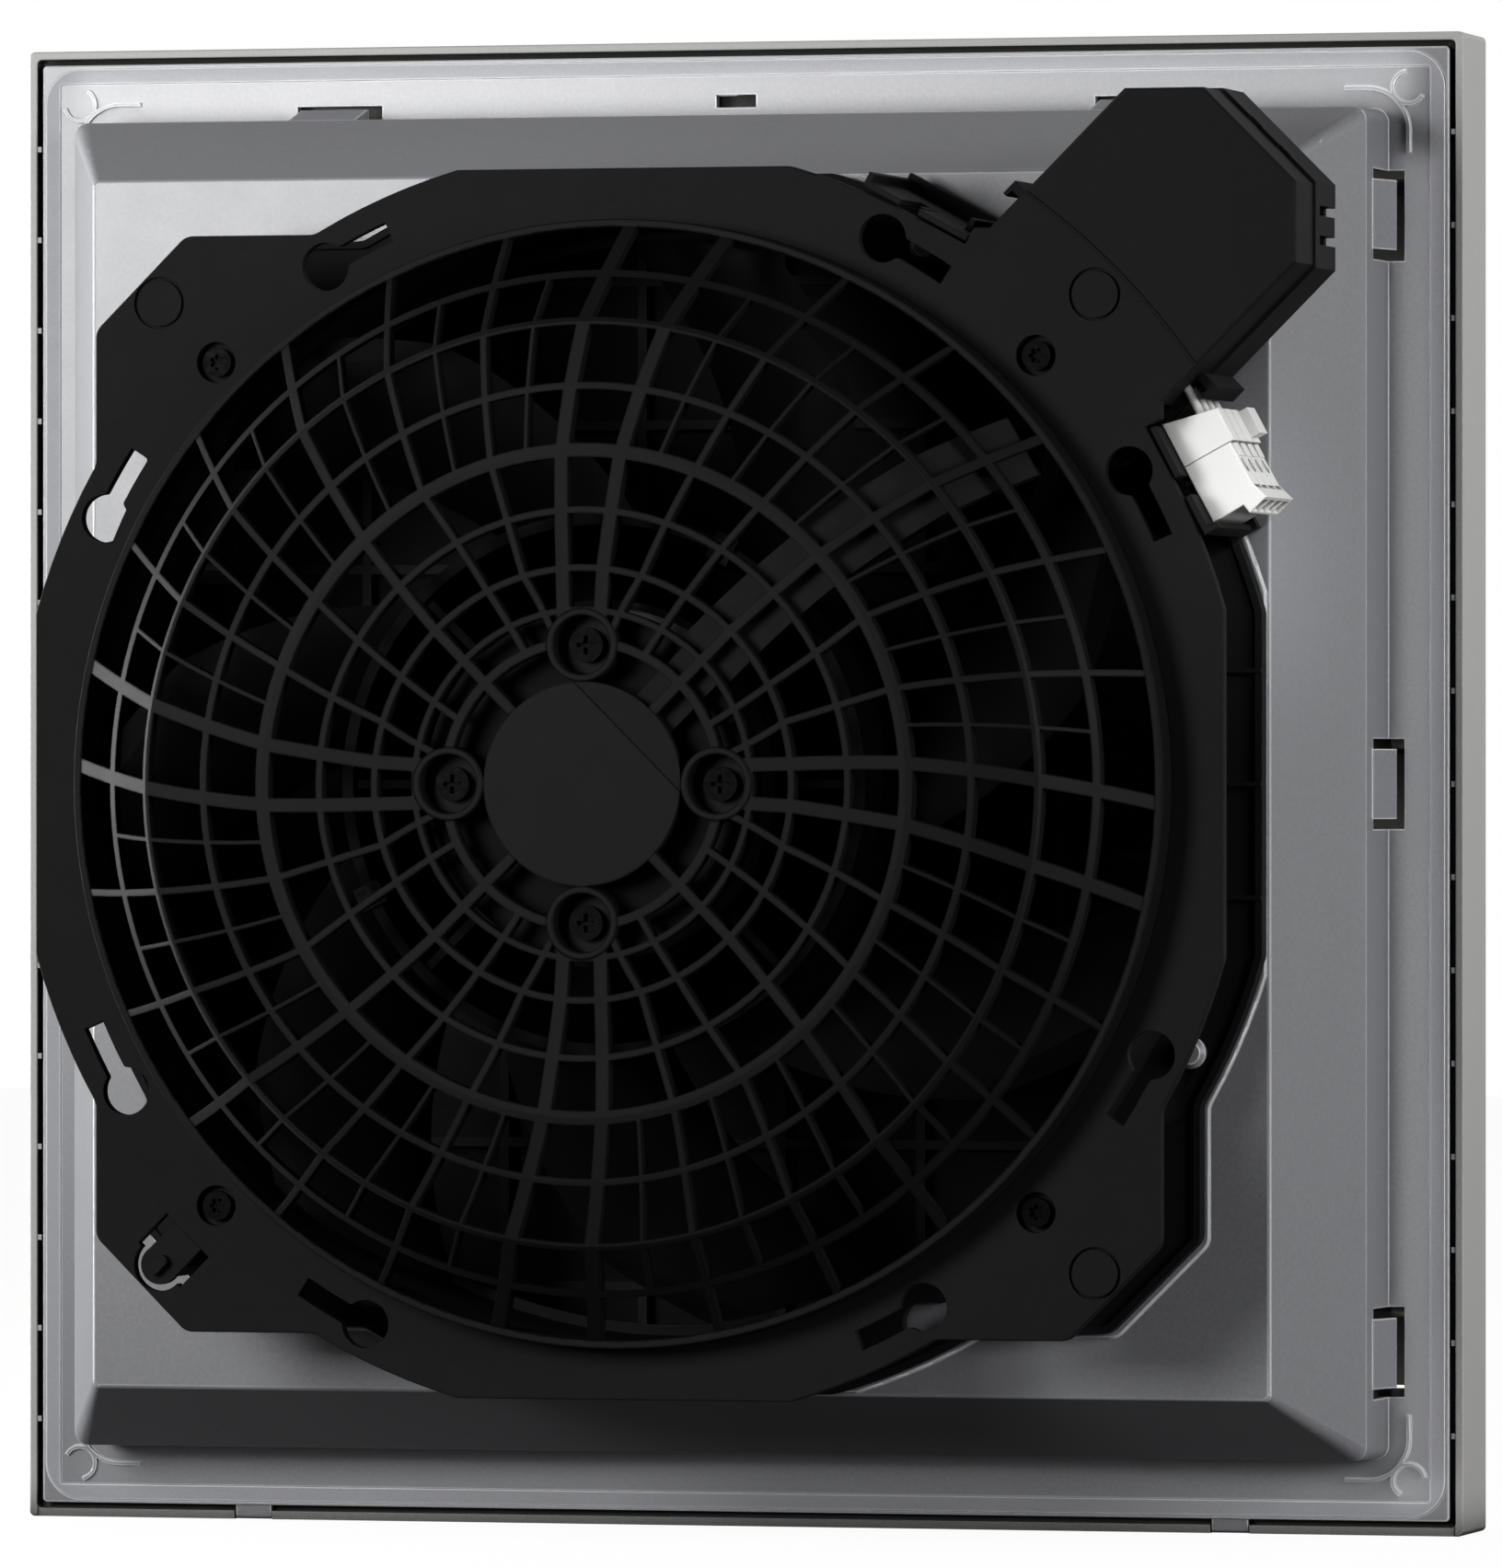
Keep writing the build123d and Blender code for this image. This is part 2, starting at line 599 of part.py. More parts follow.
def screw_well():
    """A round recess for a screw head, with the hole for its shank."""
    well = prism(Circle(SCREW_WELL), REAR_FACE - SCREW_WELL_DEPTH, REAR_FACE + 1)
    return well + prism(Circle(SCREW_SHANK + 0.2), REAR_PLATE_LOW - 10, REAR_FACE)


def rear_shell():
    """The rear plate with keyholes, wells, knock-outs and the root of the arm."""
    outline = plate_outline()
    arm = ARM_TURN * (arm_rectangle(ARM_START, ARM_HALF, ARM_END) & Circle(ARM_PART_RADIUS))
    keys = around(keyhole(REAR_KEY_ANGLES[0], -1) + keyhole(REAR_KEY_ANGLES[1], -1))
    plate = eased(prism(outline + arm, REAR_PLATE_LOW, REAR_FACE), REAR_FACE, SMALL_ROUND)
    shell = plate - prism(Circle(PLATE_HOLE) + keys + tongue_cut(), REAR_PLATE_LOW - 1, REAR_FACE + 1)
    walls = arm - ARM_TURN * Rectangle(2 * ARM_END, 2 * (ARM_HALF - BOX_WALL)) - plate_outline(-0.5)
    shell += prism(walls, BOX_SPLIT, REAR_PLATE_LOW)
    room = block((CONNECTOR_INNER - HOLDER_WALL - 2 * BODY_GAP, ARM_PART_RADIUS),
                 (-HOLDER_TAIL, HOLDER_HEAD + 2 * BODY_GAP), (REAR_PLATE_LOW - 1, REAR_FACE + 1))
    shell -= [Rot(0, 0, CONNECTOR_ANGLE) * room, Rot(0, 0, 90 - CONNECTOR_ANGLE) * mirror(room, Plane.XZ)]
    line = ring(ARM_PART_RADIUS, ARM_PART_RADIUS - 0.5) & arm
    shell += prism(line, REAR_FACE, REAR_FACE + 0.15)
    shell -= around(Pos(SCREW_OFFSET, SCREW_OFFSET, 0) * screw_well())
    groove = ring(KNOCKOUT_RADIUS, KNOCKOUT_RADIUS - KNOCKOUT_GROOVE)
    place = Pos(KNOCKOUT_OFFSET, KNOCKOUT_OFFSET, 0)
    shell -= around(place * prism(groove, REAR_FACE - 0.8, REAR_FACE + 1), (0, 90, 270))
    return shell - leads(LEAD_RADIUS + SEAT_GAP)


def torx_head():
    """A pan head with a six-lobe recess, on a short shank."""
    seat = REAR_FACE - SCREW_WELL_DEPTH
    top = seat + SCREW_HEAD_HEIGHT
    head = prism(Circle(SCREW_HEAD), seat, top)
    lobes = Circle(1.1)
    for turn in range(6):
        lobes += Rot(0, 0, 60 * turn) * Pos(1.2, 0) * Circle(0.45)
    shank = prism(Circle(SCREW_SHANK - SEAT_GAP), seat - 14, seat)
    return head + shank - prism(lobes, top - 1.2, top + 1)


def shell_screws():
    """The four screws that hold the two shells together."""
    return group([Rot(0, 0, turn) * Pos(SCREW_OFFSET, SCREW_OFFSET, 0) * torx_head()
                  for turn in QUARTERS])


# Terminal box


def terminal_box_cover():
    """The cover on the end of the arm, flush with the rear plate."""
    full = arm_rectangle(ARM_START, ARM_HALF, ARM_END)
    room = arm_rectangle(ARM_START - 9, ARM_HALF - BOX_WALL, ARM_END - BOX_WALL)
    beyond = Circle(ARM_PART_RADIUS + PART_LINE)
    cover = eased(prism(full - beyond, BOX_SPLIT, REAR_FACE), REAR_FACE, EDGE_ROUND, [GeomType.LINE])
    cover -= prism(room, BOX_SPLIT - 1, REAR_FACE - BOX_WALL)
    return ARM_TURN * cover


def terminal_box_base():
    """The base of the box, standing on the front plate and reaching past its corner."""
    half = ARM_HALF + BASE_SWELL
    start = SCREW_OFFSET * sqrt(2) + POST_RADIUS + 1
    full = arm_rectangle(start, half, ARM_END + BASE_SWELL)
    room = arm_rectangle(start + BOX_WALL, half - BOX_WALL, ARM_END + BASE_SWELL - BOX_WALL)
    low = HOLDER_LOW
    top = BOX_SPLIT - PART_LINE
    base = eased(prism(full, low, top), low, EDGE_ROUND) - prism(room, low + BOX_WALL, top + 1)
    corner = Pos(ARM_END + BASE_SWELL - ARM_CHAMFER / 2, -half + ARM_CHAMFER / 2) * Rot(0, 0, -45)
    for side in (-1, 1):
        notch = corner * Pos(0, side * BASE_NOTCH_OFFSET) * Rectangle(2 * BASE_NOTCH_DEPTH, BASE_NOTCH)
        base -= prism(notch, low - 1, top - 2 * BOX_WALL)
    tab = corner * Rectangle(2 * EDGE_ROUND, 2 * BASE_NOTCH_OFFSET)
    base -= prism(tab, low - 1, top - 2 * BOX_WALL)
    for place in BASE_SLOT_PLACES:
        base -= Pos(ARM_END, place, top) * Box(3 * BOX_WALL, BASE_SLOT, BOX_WALL)
    return ARM_TURN * base - leads(LEAD_RADIUS + SEAT_GAP)


def run_capacitor():
    """The motor's run capacitor, lying in the box."""
    floor = HOLDER_LOW + BOX_WALL
    radius = 11.0
    can = Rot(90, 0, 0) * Cylinder(radius, 34.0)
    return ARM_TURN * (Pos(168, 0, floor + radius + SEAT_GAP) * can)


# Guard


def rib_strip(points, width):
    """A curved strip of even width through three polar points."""
    middle = [polar(radius, angle) for radius, angle in points]
    start, mid, end = [Vector(*point) for point in middle]
    sides = []
    for side in (-1, 1):
        shift = side * width / 2
        ends = []
        for here, ahead in ((start, mid - start), (mid, end - start), (end, end - mid)):
            along = ahead.normalized()
            ends.append(here + Vector(-along.Y, along.X) * shift)
        sides.append(ThreePointArc(*ends))
    caps = [Line(sides[0] @ 0, sides[1] @ 0), Line(sides[0] @ 1, sides[1] @ 1)]
    return make_face(sides + caps)


def spoke(rim_angle, thick_angle, inner_angle, end_radius, end_angle, width):
    """A spoke from the guard's rim over the thick ring to its inner end."""
    rim, thick, inner = 118.0, 69.8, 45.2
    middle = (rim + thick) / 2
    outer = rib_strip([(rim, rim_angle), (middle, (rim_angle + thick_angle) / 2),
                       (thick - 0.5, thick_angle)], width)
    halfway = (thick + inner) / 2
    centre = rib_strip([(thick + 0.5, thick_angle), (halfway, (thick_angle + inner_angle) / 2),
                        (inner - 0.3, inner_angle)], width)
    halfway = (inner + end_radius) / 2
    close = rib_strip([(inner + 0.3, inner_angle), (halfway, (inner_angle + end_angle) / 2),
                       (end_radius, end_angle)], width)
    return [outer, centre, close]


def minor_spoke(rim_angle, thick_angle):
    """A thin spoke between two main ones, from the outermost ring to the thick ring."""
    outer, inner = 107.1, 69.8
    share = (117.3 - outer) / (117.3 - inner)
    start = rim_angle + share * (thick_angle - rim_angle)
    return rib_strip([(outer, start), ((outer + inner) / 2, (start + thick_angle) / 2),
                      (inner, thick_angle)], MINOR_RIB)


# Angles of the spokes in the first quadrant: at the rim, at the thick ring and at the
# inner ring; then the radius and angle of the inner end, and the width
SPOKES = ((88.0, 93.6, 95.3, 33.5, 96.6, THICK_RIB),
          (77.6, 83.1, 84.2, 33.5, 83.4, THICK_RIB),
          (64.25, 69.5, 73.4, 33.0, 78.5, THIN_RIB),
          (51.0, 56.3, 60.3, 29.8, 63.2, THIN_RIB),
          (37.75, 43.0, 44.8, HUB_RADIUS + SEAT_GAP, 45.0, 2.2),
          (24.5, 29.8, 27.0, 29.8, 24.2, THIN_RIB),
          (11.25, 16.5, 16.4, 33.0, 11.5, THIN_RIB))


def guard_pattern():
    """All ribs of the guard seen from behind, for one quarter."""
    ribs = [strip for row in SPOKES for strip in spoke(*row)]
    starts = [row[0] for row in SPOKES[1:]] + [SPOKES[0][0] - 90]
    inners = [row[1] for row in SPOKES[1:]] + [SPOKES[0][1] - 90]
    for left in range(len(starts) - 1):
        rim_angle = (starts[left] + starts[left + 1]) / 2
        ribs.append(minor_spoke(rim_angle, (inners[left] + inners[left + 1]) / 2))
    return [Rot(0, 0, turn) * rib for turn in QUARTERS for rib in ribs]


def dome(lift, thickness):
    """The domed band that the ribs fill, lifted off the outer face and of given depth."""
    top = GUARD_FACE - lift
    outer = [(radius, top - drop) for radius, drop in DOME_PROFILE]
    last_radius, last_level = outer[-1]
    points = [(0, top)] + outer + [(last_radius + 3, last_level), (last_radius + 3, last_level - 2)]
    below = [(radius, level - thickness) for radius, level in reversed(outer)]
    points += below + [(0, top - thickness)]
    return revolve(Plane.XZ * make_face(Polyline(*points, close=True)), Axis.Z)


def boss_places():
    """Where the four screw wells of the hub stand."""
    return [Pos(*polar(BOSS_CIRCLE, turn)) for turn in QUARTERS]


def rear_guard():
    """The domed guard: rings, spokes, hub disc and the four screw wells."""
    rings = [ring(radius + width / 2, radius - width / 2) for radius, width in GUARD_RINGS]
    pattern = rings[0] + rings[1:] + guard_pattern()
    wells = Sketch() + [place * Circle(BOSS_OUTER) for place in boss_places()]
    pattern -= wells
    ribs = prism(pattern, GUARD_RIM_TOP - 6, GUARD_FACE + 1) & dome(0, GUARD_RIB)
    rim_inner = PLATE_HOLE - SEAT_GAP - GUARD_RIM_WALL
    rim = prism(ring(PLATE_HOLE - SEAT_GAP, rim_inner), REAR_PLATE_LOW, GUARD_RIM_TOP)
    rim = eased(rim, GUARD_RIM_TOP, SMALL_ROUND)
    chord = ARM_TURN * Pos(HUB_CHORD + HUB_RADIUS, 0) * Rectangle(2 * HUB_RADIUS, 3 * HUB_RADIUS)
    disc = Circle(HUB_RADIUS) - chord
    guard = ribs + rim + prism(disc, GUARD_FACE - HUB_THICKNESS, GUARD_FACE)
    boss = prism(Circle(BOSS_OUTER), MOTOR_TOP, BOSS_TOP) - prism(Circle(BOSS_INNER), BOSS_SEAT, BOSS_TOP)
    boss = eased(boss, BOSS_TOP, SMALL_ROUND)
    boss -= prism(Circle(SCREW_SHANK + 0.2), MOTOR_TOP - 1, GUARD_FACE)
    return guard + [place * boss for place in boss_places()]


def hub_screws():
    """The four cross-head screws in the wells of the hub."""
    top = BOSS_SEAT + HUB_SCREW_HEIGHT
    head = prism(Circle(HUB_SCREW_HEAD), BOSS_SEAT, top)
    cross = Rectangle(4.0, 0.9) + Rectangle(0.9, 4.0)
    screw = head - prism(cross, top - 1.2, top + 1)
    screw += prism(Circle(SCREW_SHANK - SEAT_GAP), MOTOR_BACK + 0.5, BOSS_SEAT)
    return group([place * screw for place in boss_places()])


def channel_path(start, end):
    """The radii and angles that the cable channel follows, as the diagonal spoke does."""
    return [(start, 45.0), ((start + end) / 2, 42.6), (end, 38.4)]


def cable_channel():
    """The trough behind the diagonal spoke, with the outer segment of the hub disc."""
    outside = rib_strip(channel_path(CHANNEL_START, CHANNEL_END), CHANNEL_WIDTH)
    inside = rib_strip(channel_path(CHANNEL_START - 1, CHANNEL_END + 1), CHANNEL_WIDTH - 2 * CHANNEL_WALL)
    lift = GUARD_RIB + SEAT_GAP
    trough = prism(outside, 80, GUARD_FACE) & dome(lift, CHANNEL_DEPTH)
    trough -= prism(inside, 80, GUARD_FACE) & dome(lift + CHANNEL_WALL, CHANNEL_DEPTH)
    limit = Pos(HUB_CHORD + PART_LINE + HUB_RADIUS, 0) * Rectangle(2 * HUB_RADIUS, 3 * HUB_RADIUS)
    limit = ARM_TURN * limit
    wells = Sketch() + [place * Circle(BOSS_OUTER + SEAT_GAP) for place in boss_places()]
    segment = (Circle(HUB_RADIUS) & limit) - wells
    cap = prism(segment, GUARD_FACE - HUB_THICKNESS, GUARD_FACE)
    neck = ARM_TURN * Pos((HUB_CHORD + CHANNEL_START) / 2 + 1.5, 0)
    neck = neck * Rectangle(CHANNEL_START - HUB_CHORD - 1, CHANNEL_WIDTH - 2 * CHANNEL_WALL)
    web_low = GUARD_FACE - lift - CHANNEL_WALL
    web = prism(neck, web_low, GUARD_FACE - lift)
    stem = prism(segment & neck, web_low, GUARD_FACE - HUB_THICKNESS + 0.2)
    return trough + cap + web + stem


def motor_lead():
    """The motor's lead, laid in the cable channel."""
    strip = rib_strip(channel_path(CHANNEL_START + 1, CHANNEL_END - 1), 2 * CHANNEL_LEAD)
    lift = GUARD_RIB + CHANNEL_WALL + 2 * SEAT_GAP
    return prism(strip, 80, GUARD_FACE) & dome(lift, CHANNEL_DEPTH - CHANNEL_WALL - 1)


# Motor


def motor_flange():
    """The die-cast flange of the motor with its bearing tube."""
    flange = prism(Circle(MOTOR_FLANGE), MOTOR_BACK, MOTOR_TOP - SEAT_GAP)
    low, high = bearing_levels()
    tube = prism(Circle(MOTOR_TUBE), low, MOTOR_BACK)
    room = prism(Circle(BEARING_OUTER + SEAT_GAP), low - 1, MOTOR_BACK)
    waist = prism(ring(BEARING_OUTER + 1, 8), low + BEARING_WIDTH + SEAT_GAP, high - SEAT_GAP)
    flange = flange + tube - room + waist
    for place in boss_places():
        flange -= place * prism(Circle(SCREW_SHANK), MOTOR_BACK - 1, MOTOR_TOP + 1)
    return flange


def bearing(low):
    """A ball bearing drawn as its two races and their shields."""
    profile = ring(BEARING_OUTER, BEARING_BORE)
    groove = ring(9.2, 5.6)
    body = prism(profile, low, low + BEARING_WIDTH)
    body -= prism(groove, low + BEARING_WIDTH - 0.5, low + BEARING_WIDTH + 1)
    return body - prism(groove, low - 1, low + 0.5)


def bearing_levels():
    """The lower ends of the two bearings."""
    low = MOTOR_BACK - SHAFT_END_ROOM - BEARING_SPREAD - 2 * BEARING_WIDTH
    return low, low + BEARING_SPREAD + BEARING_WIDTH


def stator_levels():
    """The two ends of the laminated core."""
    middle = bearing_levels()[1] - BEARING_SPREAD / 2
    return middle - STATOR_LENGTH / 2, middle + STATOR_LENGTH / 2


def stator_core():
    """The laminated core with eight slots."""
    low, high = stator_levels()
    slot = Pos(24.5, 0) * Rectangle(11.0, 7.0) + Pos(31.5, 0) * Rectangle(6.0, 2.0)
    face = ring(STATOR_RADIUS, MOTOR_TUBE + SEAT_GAP)
    face -= around(slot, [45 * k + 22.5 for k in range(8)])
    return prism(face, low, high)


def stator_windings():
    """Eight wound coils, one in each slot, proud of the core at both ends."""
    low, high = stator_levels()
    coil = fillet((Pos(24.4, 0) * Rectangle(10.4, 6.4)).vertices(), 1.5)
    return group([Rot(0, 0, 45 * k + 22.5) * prism(coil, low - 4, high + 4) for k in range(8)])


# Rotor


def cup_inner():
    """The inner radius of the steel cup."""
    return STATOR_RADIUS + AIR_GAP + MAGNET_WALL


def cup_levels():
    """The closed and the open end of the steel cup."""
    return bearing_levels()[0] - 5.0, HUB_REAR - 1.0


def rotor_cup():
    """The deep-drawn steel cup that turns round the stator, with its shaft boss."""
    low, high = cup_levels()
    inner = cup_inner()
    cup = prism(Circle(inner + CUP_WALL), low, high) - prism(Circle(inner), low + CUP_WALL, high + 1)
    cup += prism(Circle(8.0), low, low + 3.5)
    return cup - prism(Circle(BEARING_BORE - RUNNING_FIT + 0.01), low - 1, high)


def magnet_ring():
    """The magnet ring inside the cup."""
    low, high = stator_levels()
    inner = STATOR_RADIUS + AIR_GAP
    return prism(ring(cup_inner() - 0.02, inner), low - 1, high + 1)


def rotor_shaft():
    """The steel shaft, with a groove for its ring."""
    low = cup_levels()[0]
    high = MOTOR_BACK - BODY_GAP
    shaft = prism(Circle(BEARING_BORE - RUNNING_FIT), low, high)
    groove_low = bearing_levels()[1] + BEARING_WIDTH + BODY_GAP
    return shaft - prism(ring(BEARING_BORE + 1, BEARING_BORE - 0.8), groove_low, groove_low + 0.8)


def shaft_ring():
    """The snap ring that keeps the rotor on its bearings."""
    low = bearing_levels()[1] + BEARING_WIDTH + BODY_GAP + 0.05
    face = ring(BEARING_BORE + 1.4, BEARING_BORE - 0.75) - Pos(5, 0) * Rectangle(8, 2.4)
    return prism(face, low, low + 0.7)


def blade_section(radius, turn, chord, lean, level):
    """The section of a blade where it crosses a radius, as a bowed strip."""
    half = chord / 2
    bow = chord * 0.09
    thick = BLADE_THICKNESS
    top = ThreePointArc((-half, 0), (0, bow + thick), (half, 0))
    low = ThreePointArc((-half, 0), (0, bow), (half, 0))
    outline = Rot(0, 0, lean) * make_face([top, low])
    place = Plane(origin=(0, 0, level), x_dir=(0, 1, 0), z_dir=(1, 0, 0))
    return Rot(0, 0, turn) * Pos(radius, 0, 0) * (place * outline)


def impeller():
    """The impeller: hub ring with ribs onto the steel cup, and swept blades."""
    outer = HUB_RING_RADIUS
    front = outer - 5.0
    shell = [(outer, HUB_REAR), (outer, HUB_REAR - 6), (front + 1.5, HUB_FRONT + 6), (front - 2, HUB_FRONT)]
    inside = [(front - 6, HUB_FRONT), (front - 3, HUB_FRONT + 8), (outer - HUB_RING_WALL, HUB_REAR - 8),
              (outer - HUB_RING_WALL, HUB_REAR)]
    hub = revolve(Plane.XZ * make_face(Polyline(*(shell + inside), close=True)), Axis.Z)
    cup_outer = cup_inner() + CUP_WALL + SEAT_GAP
    floor_low = cup_levels()[0] - 2.2
    hub += prism(ring(front - 2, 6.0), floor_low, floor_low + 2.0)
    rib = Pos((outer + cup_outer) / 2 - 0.5, 0) * Rectangle(outer - cup_outer - 1, 1.8)
    hub += around(prism(rib, floor_low + 1, HUB_REAR - 1.5), [45 * k for k in range(8)])
    sections = [blade_section(outer - 4, 0, 40, -36, 80), blade_section(86, 17, 47, -30, 79),
                blade_section(BLADE_TIP + 6, 34, 53, -25, 77)]
    blade = loft(sections)
    band = revolve(Plane.XZ * make_face(Polyline((outer - 3.5, BLADE_REAR), (BLADE_TIP, BLADE_REAR - 9),
                                                 (BLADE_TIP, BLADE_FRONT), (outer - 3.5, BLADE_FRONT + 4),
                                                 close=True)), Axis.Z)
    blade = blade & band
    pieces = hub
    for k in range(BLADE_COUNT):
        pieces += Rot(0, 0, 360 / BLADE_COUNT * k) * blade
    return pieces


def balance_clips():
    """Two small clips on the rear edge of the hub ring."""
    clip = Box(6.0, 5.0, 4.0) - Pos(0, 0, -1) * Box(HUB_RING_WALL + BODY_GAP, 6.0, 4.0)
    place = Pos(HUB_RING_RADIUS - HUB_RING_WALL / 2, 0, HUB_REAR - 1 + SEAT_GAP)
    return group([Rot(0, 0, turn) * place * clip for turn in (62, 205)])


# Mains connector


def holder():
    """A holder for a connector: a ledge, a wall with a gap and a finger, a return post and a rib."""
    outer = CONNECTOR_INNER - SEAT_GAP
    inner = outer - HOLDER_WALL
    length = (-HOLDER_TAIL, HOLDER_HEAD)
    ledge = block((PLATE_RADIUS - EDGE_RIM, outer + HOLDER_LEDGE), length,
                  (HOLDER_LOW, HOLDER_LOW + HOLDER_FLOOR))
    wall = block((inner, outer), length, (HOLDER_LOW, HOLDER_TOP))
    wall -= block((inner - 1, outer + 1), HOLDER_GAP, (HOLDER_GAP_FLOOR, HOLDER_TOP + 1))
    half = HOLDER_WALL / 2
    finger = block((inner, outer), (FINGER_PLACE - half, FINGER_PLACE + half),
                   (HOLDER_GAP_FLOOR - 1, FINGER_TOP))
    post = block((inner, outer + 1.5 * HOLDER_WALL), (-HOLDER_TAIL, -HOLDER_TAIL + HOLDER_WALL),
                 (HOLDER_LOW, HOLDER_TOP))
    rib = block((inner, outer + HOLDER_RIB_REACH), (HOLDER_RIB_PLACE - half, HOLDER_RIB_PLACE + half),
                (HOLDER_LOW, HOLDER_RIB_TOP))
    return ledge + [wall, finger, post, rib]


def terminal_holder():
    """The holder on the lower side of the arm."""
    return Rot(0, 0, CONNECTOR_ANGLE) * holder()


def spare_holder():
    """The empty holder on the upper side of the arm, the other's mirror image."""
    return Rot(0, 0, 90 - CONNECTOR_ANGLE) * mirror(holder(), Plane.XZ)


def pole_level(pole):
    """The middle of one pole in the stack, the first one nearest the panel."""
    return CONNECTOR_LOW + (pole + 0.5) * POLE_PITCH


def pole_grooves(low_place, high_place, width):
    """Shallow grooves on the outer side between two poles."""
    half = POLE_GROOVE / 2
    levels = [CONNECTOR_LOW + pole * POLE_PITCH for pole in range(1, POLE_COUNT)]
    across = (width - 3 * POLE_GROOVE, width + 1)
    return [block(across, (low_place, high_place), (level - half, level + half)) for level in levels]


def in_holder(piece):
    """Puts a piece of the connector, drawn at its inner side, into the lower holder."""
    return Rot(0, 0, CONNECTOR_ANGLE) * Pos(CONNECTOR_INNER, 0, 0) * piece


def connector_header():
    """The half of the connector that the fan's leads go into."""
    split = CONNECTOR_SPLIT + CONNECTOR_JOINT
    profile = make_face(Polyline((0, split), (HEADER_WIDTH, split),
                                 (HEADER_WIDTH, HEADER_HEAD - HEADER_SLANT), (0, HEADER_HEAD), close=True))
    header = eased(prism(profile, CONNECTOR_LOW, CONNECTOR_FACE), CONNECTOR_FACE, SMALL_ROUND)
    header += block((HEADER_WIDTH - 0.4, HEADER_FOOT), (split + 1, HEADER_HEAD - HEADER_SLANT - 0.5),
                    (CONNECTOR_LOW, CONNECTOR_LOW + HEADER_FOOT_HEIGHT))
    half = HOLDER_WALL / 2 + SEAT_GAP
    header -= block((-1, HOLDER_RIB_REACH + SEAT_GAP), (HOLDER_RIB_PLACE - half, HOLDER_RIB_PLACE + half),
                    (CONNECTOR_LOW - 1, HOLDER_RIB_TOP + SEAT_GAP))
    header -= pole_grooves(split - 1, HEADER_HEAD, HEADER_WIDTH)
    bore = Rot(90, 0, 0) * Cylinder(LEAD_RADIUS + SEAT_GAP, 2 * (HEADER_HEAD - LEAD_START + SEAT_GAP))
    for pole in range(POLE_COUNT):
        header -= Pos(LEAD_PLACE - CONNECTOR_INNER, HEADER_HEAD, pole_level(pole)) * bore
    return in_holder(header)


def connector_plug():
    """The pull-off half: a slanted end with wide wire entries, and a round well for each button."""
    profile = make_face(Polyline((0, CONNECTOR_SPLIT), (PLUG_WIDTH, CONNECTOR_SPLIT),
                                 (PLUG_WIDTH + 0.2, CONNECTOR_SPLIT - 9.8),
                                 (PLUG_NOSE, -CONNECTOR_TAIL - 0.6),
                                 (PLUG_WIDTH - 3.3, -CONNECTOR_TAIL - 1.9),
                                 (PLUG_WIDTH - 3.7, -CONNECTOR_TAIL + 0.2),
                                 (0, -CONNECTOR_TAIL), close=True))
    plug = eased(prism(profile, CONNECTOR_LOW, CONNECTOR_FACE), CONNECTOR_FACE, SMALL_ROUND)
    plug -= pole_grooves(CONNECTOR_SPLIT - 9.8, CONNECTOR_SPLIT + 1, PLUG_WIDTH)
    room = BUTTON_SUNK + BUTTON_LENGTH + BUTTON_TRAVEL + BODY_GAP
    well = Rot(0, 90, 0) * Cylinder(BUTTON_RADIUS + BODY_GAP, 2 * room)
    half = (POLE_PITCH - ENTRY_WALL) / 2
    for pole in range(POLE_COUNT):
        level = pole_level(pole)
        plug += block((PLUG_WIDTH - 1, PLUG_WIDTH + POLE_PAD), (-1.5, 1.5), (level - 2, level + 2))
        plug -= Pos(PLUG_WIDTH, BUTTON_PLACE, level) * well
        plug -= block((PLUG_WIDTH - 2.7, PLUG_NOSE - ENTRY_WALL),
                      (-2 * CONNECTOR_TAIL, -CONNECTOR_TAIL - 1.9 + ENTRY_DEPTH),
                      (level - half, level + half))
    return in_holder(plug)


def release_button(pole):
    """One round press button with a slot, sunk in its well, that opens the spring of its pole."""
    button = Rot(0, 90, 0) * Cylinder(BUTTON_RADIUS, BUTTON_LENGTH)
    button -= Pos(BUTTON_LENGTH / 2, 0, 0) * Box(1.0, 3 * BUTTON_RADIUS, 0.7)
    reach = PLUG_WIDTH - BUTTON_SUNK - BUTTON_LENGTH / 2
    return in_holder(Pos(reach, BUTTON_PLACE, pole_level(pole)) * button)


def leads(radius):
    """Straight round strands, one for each pole, from the header into the terminal box."""
    strand = Rot(90, 0, 0) * Cylinder(radius, LEAD_END - LEAD_START)
    place = Rot(0, 0, CONNECTOR_ANGLE) * Pos(LEAD_PLACE, (LEAD_START + LEAD_END) / 2, 0)
    return [place * Pos(0, 0, pole_level(pole)) * strand for pole in range(POLE_COUNT)]


def lead_clip():
    """A hooked post on either side of the box, for the leads to be laid behind."""
    side = ARM_HALF + BASE_SWELL + SEAT_GAP
    end = CLIP_PLACE + CLIP_THICKNESS / 2
    post = block((end - CLIP_THICKNESS, end), (side, side + CLIP_REACH), CLIP_LEVELS)
    lip = block((end - CLIP_LIP_LENGTH, end), (side + CLIP_REACH - CLIP_LIP, side + CLIP_REACH),
                CLIP_LEVELS)
    clip = post + lip
    return group([ARM_TURN * clip, ARM_TURN * mirror(clip, Plane.XZ)])


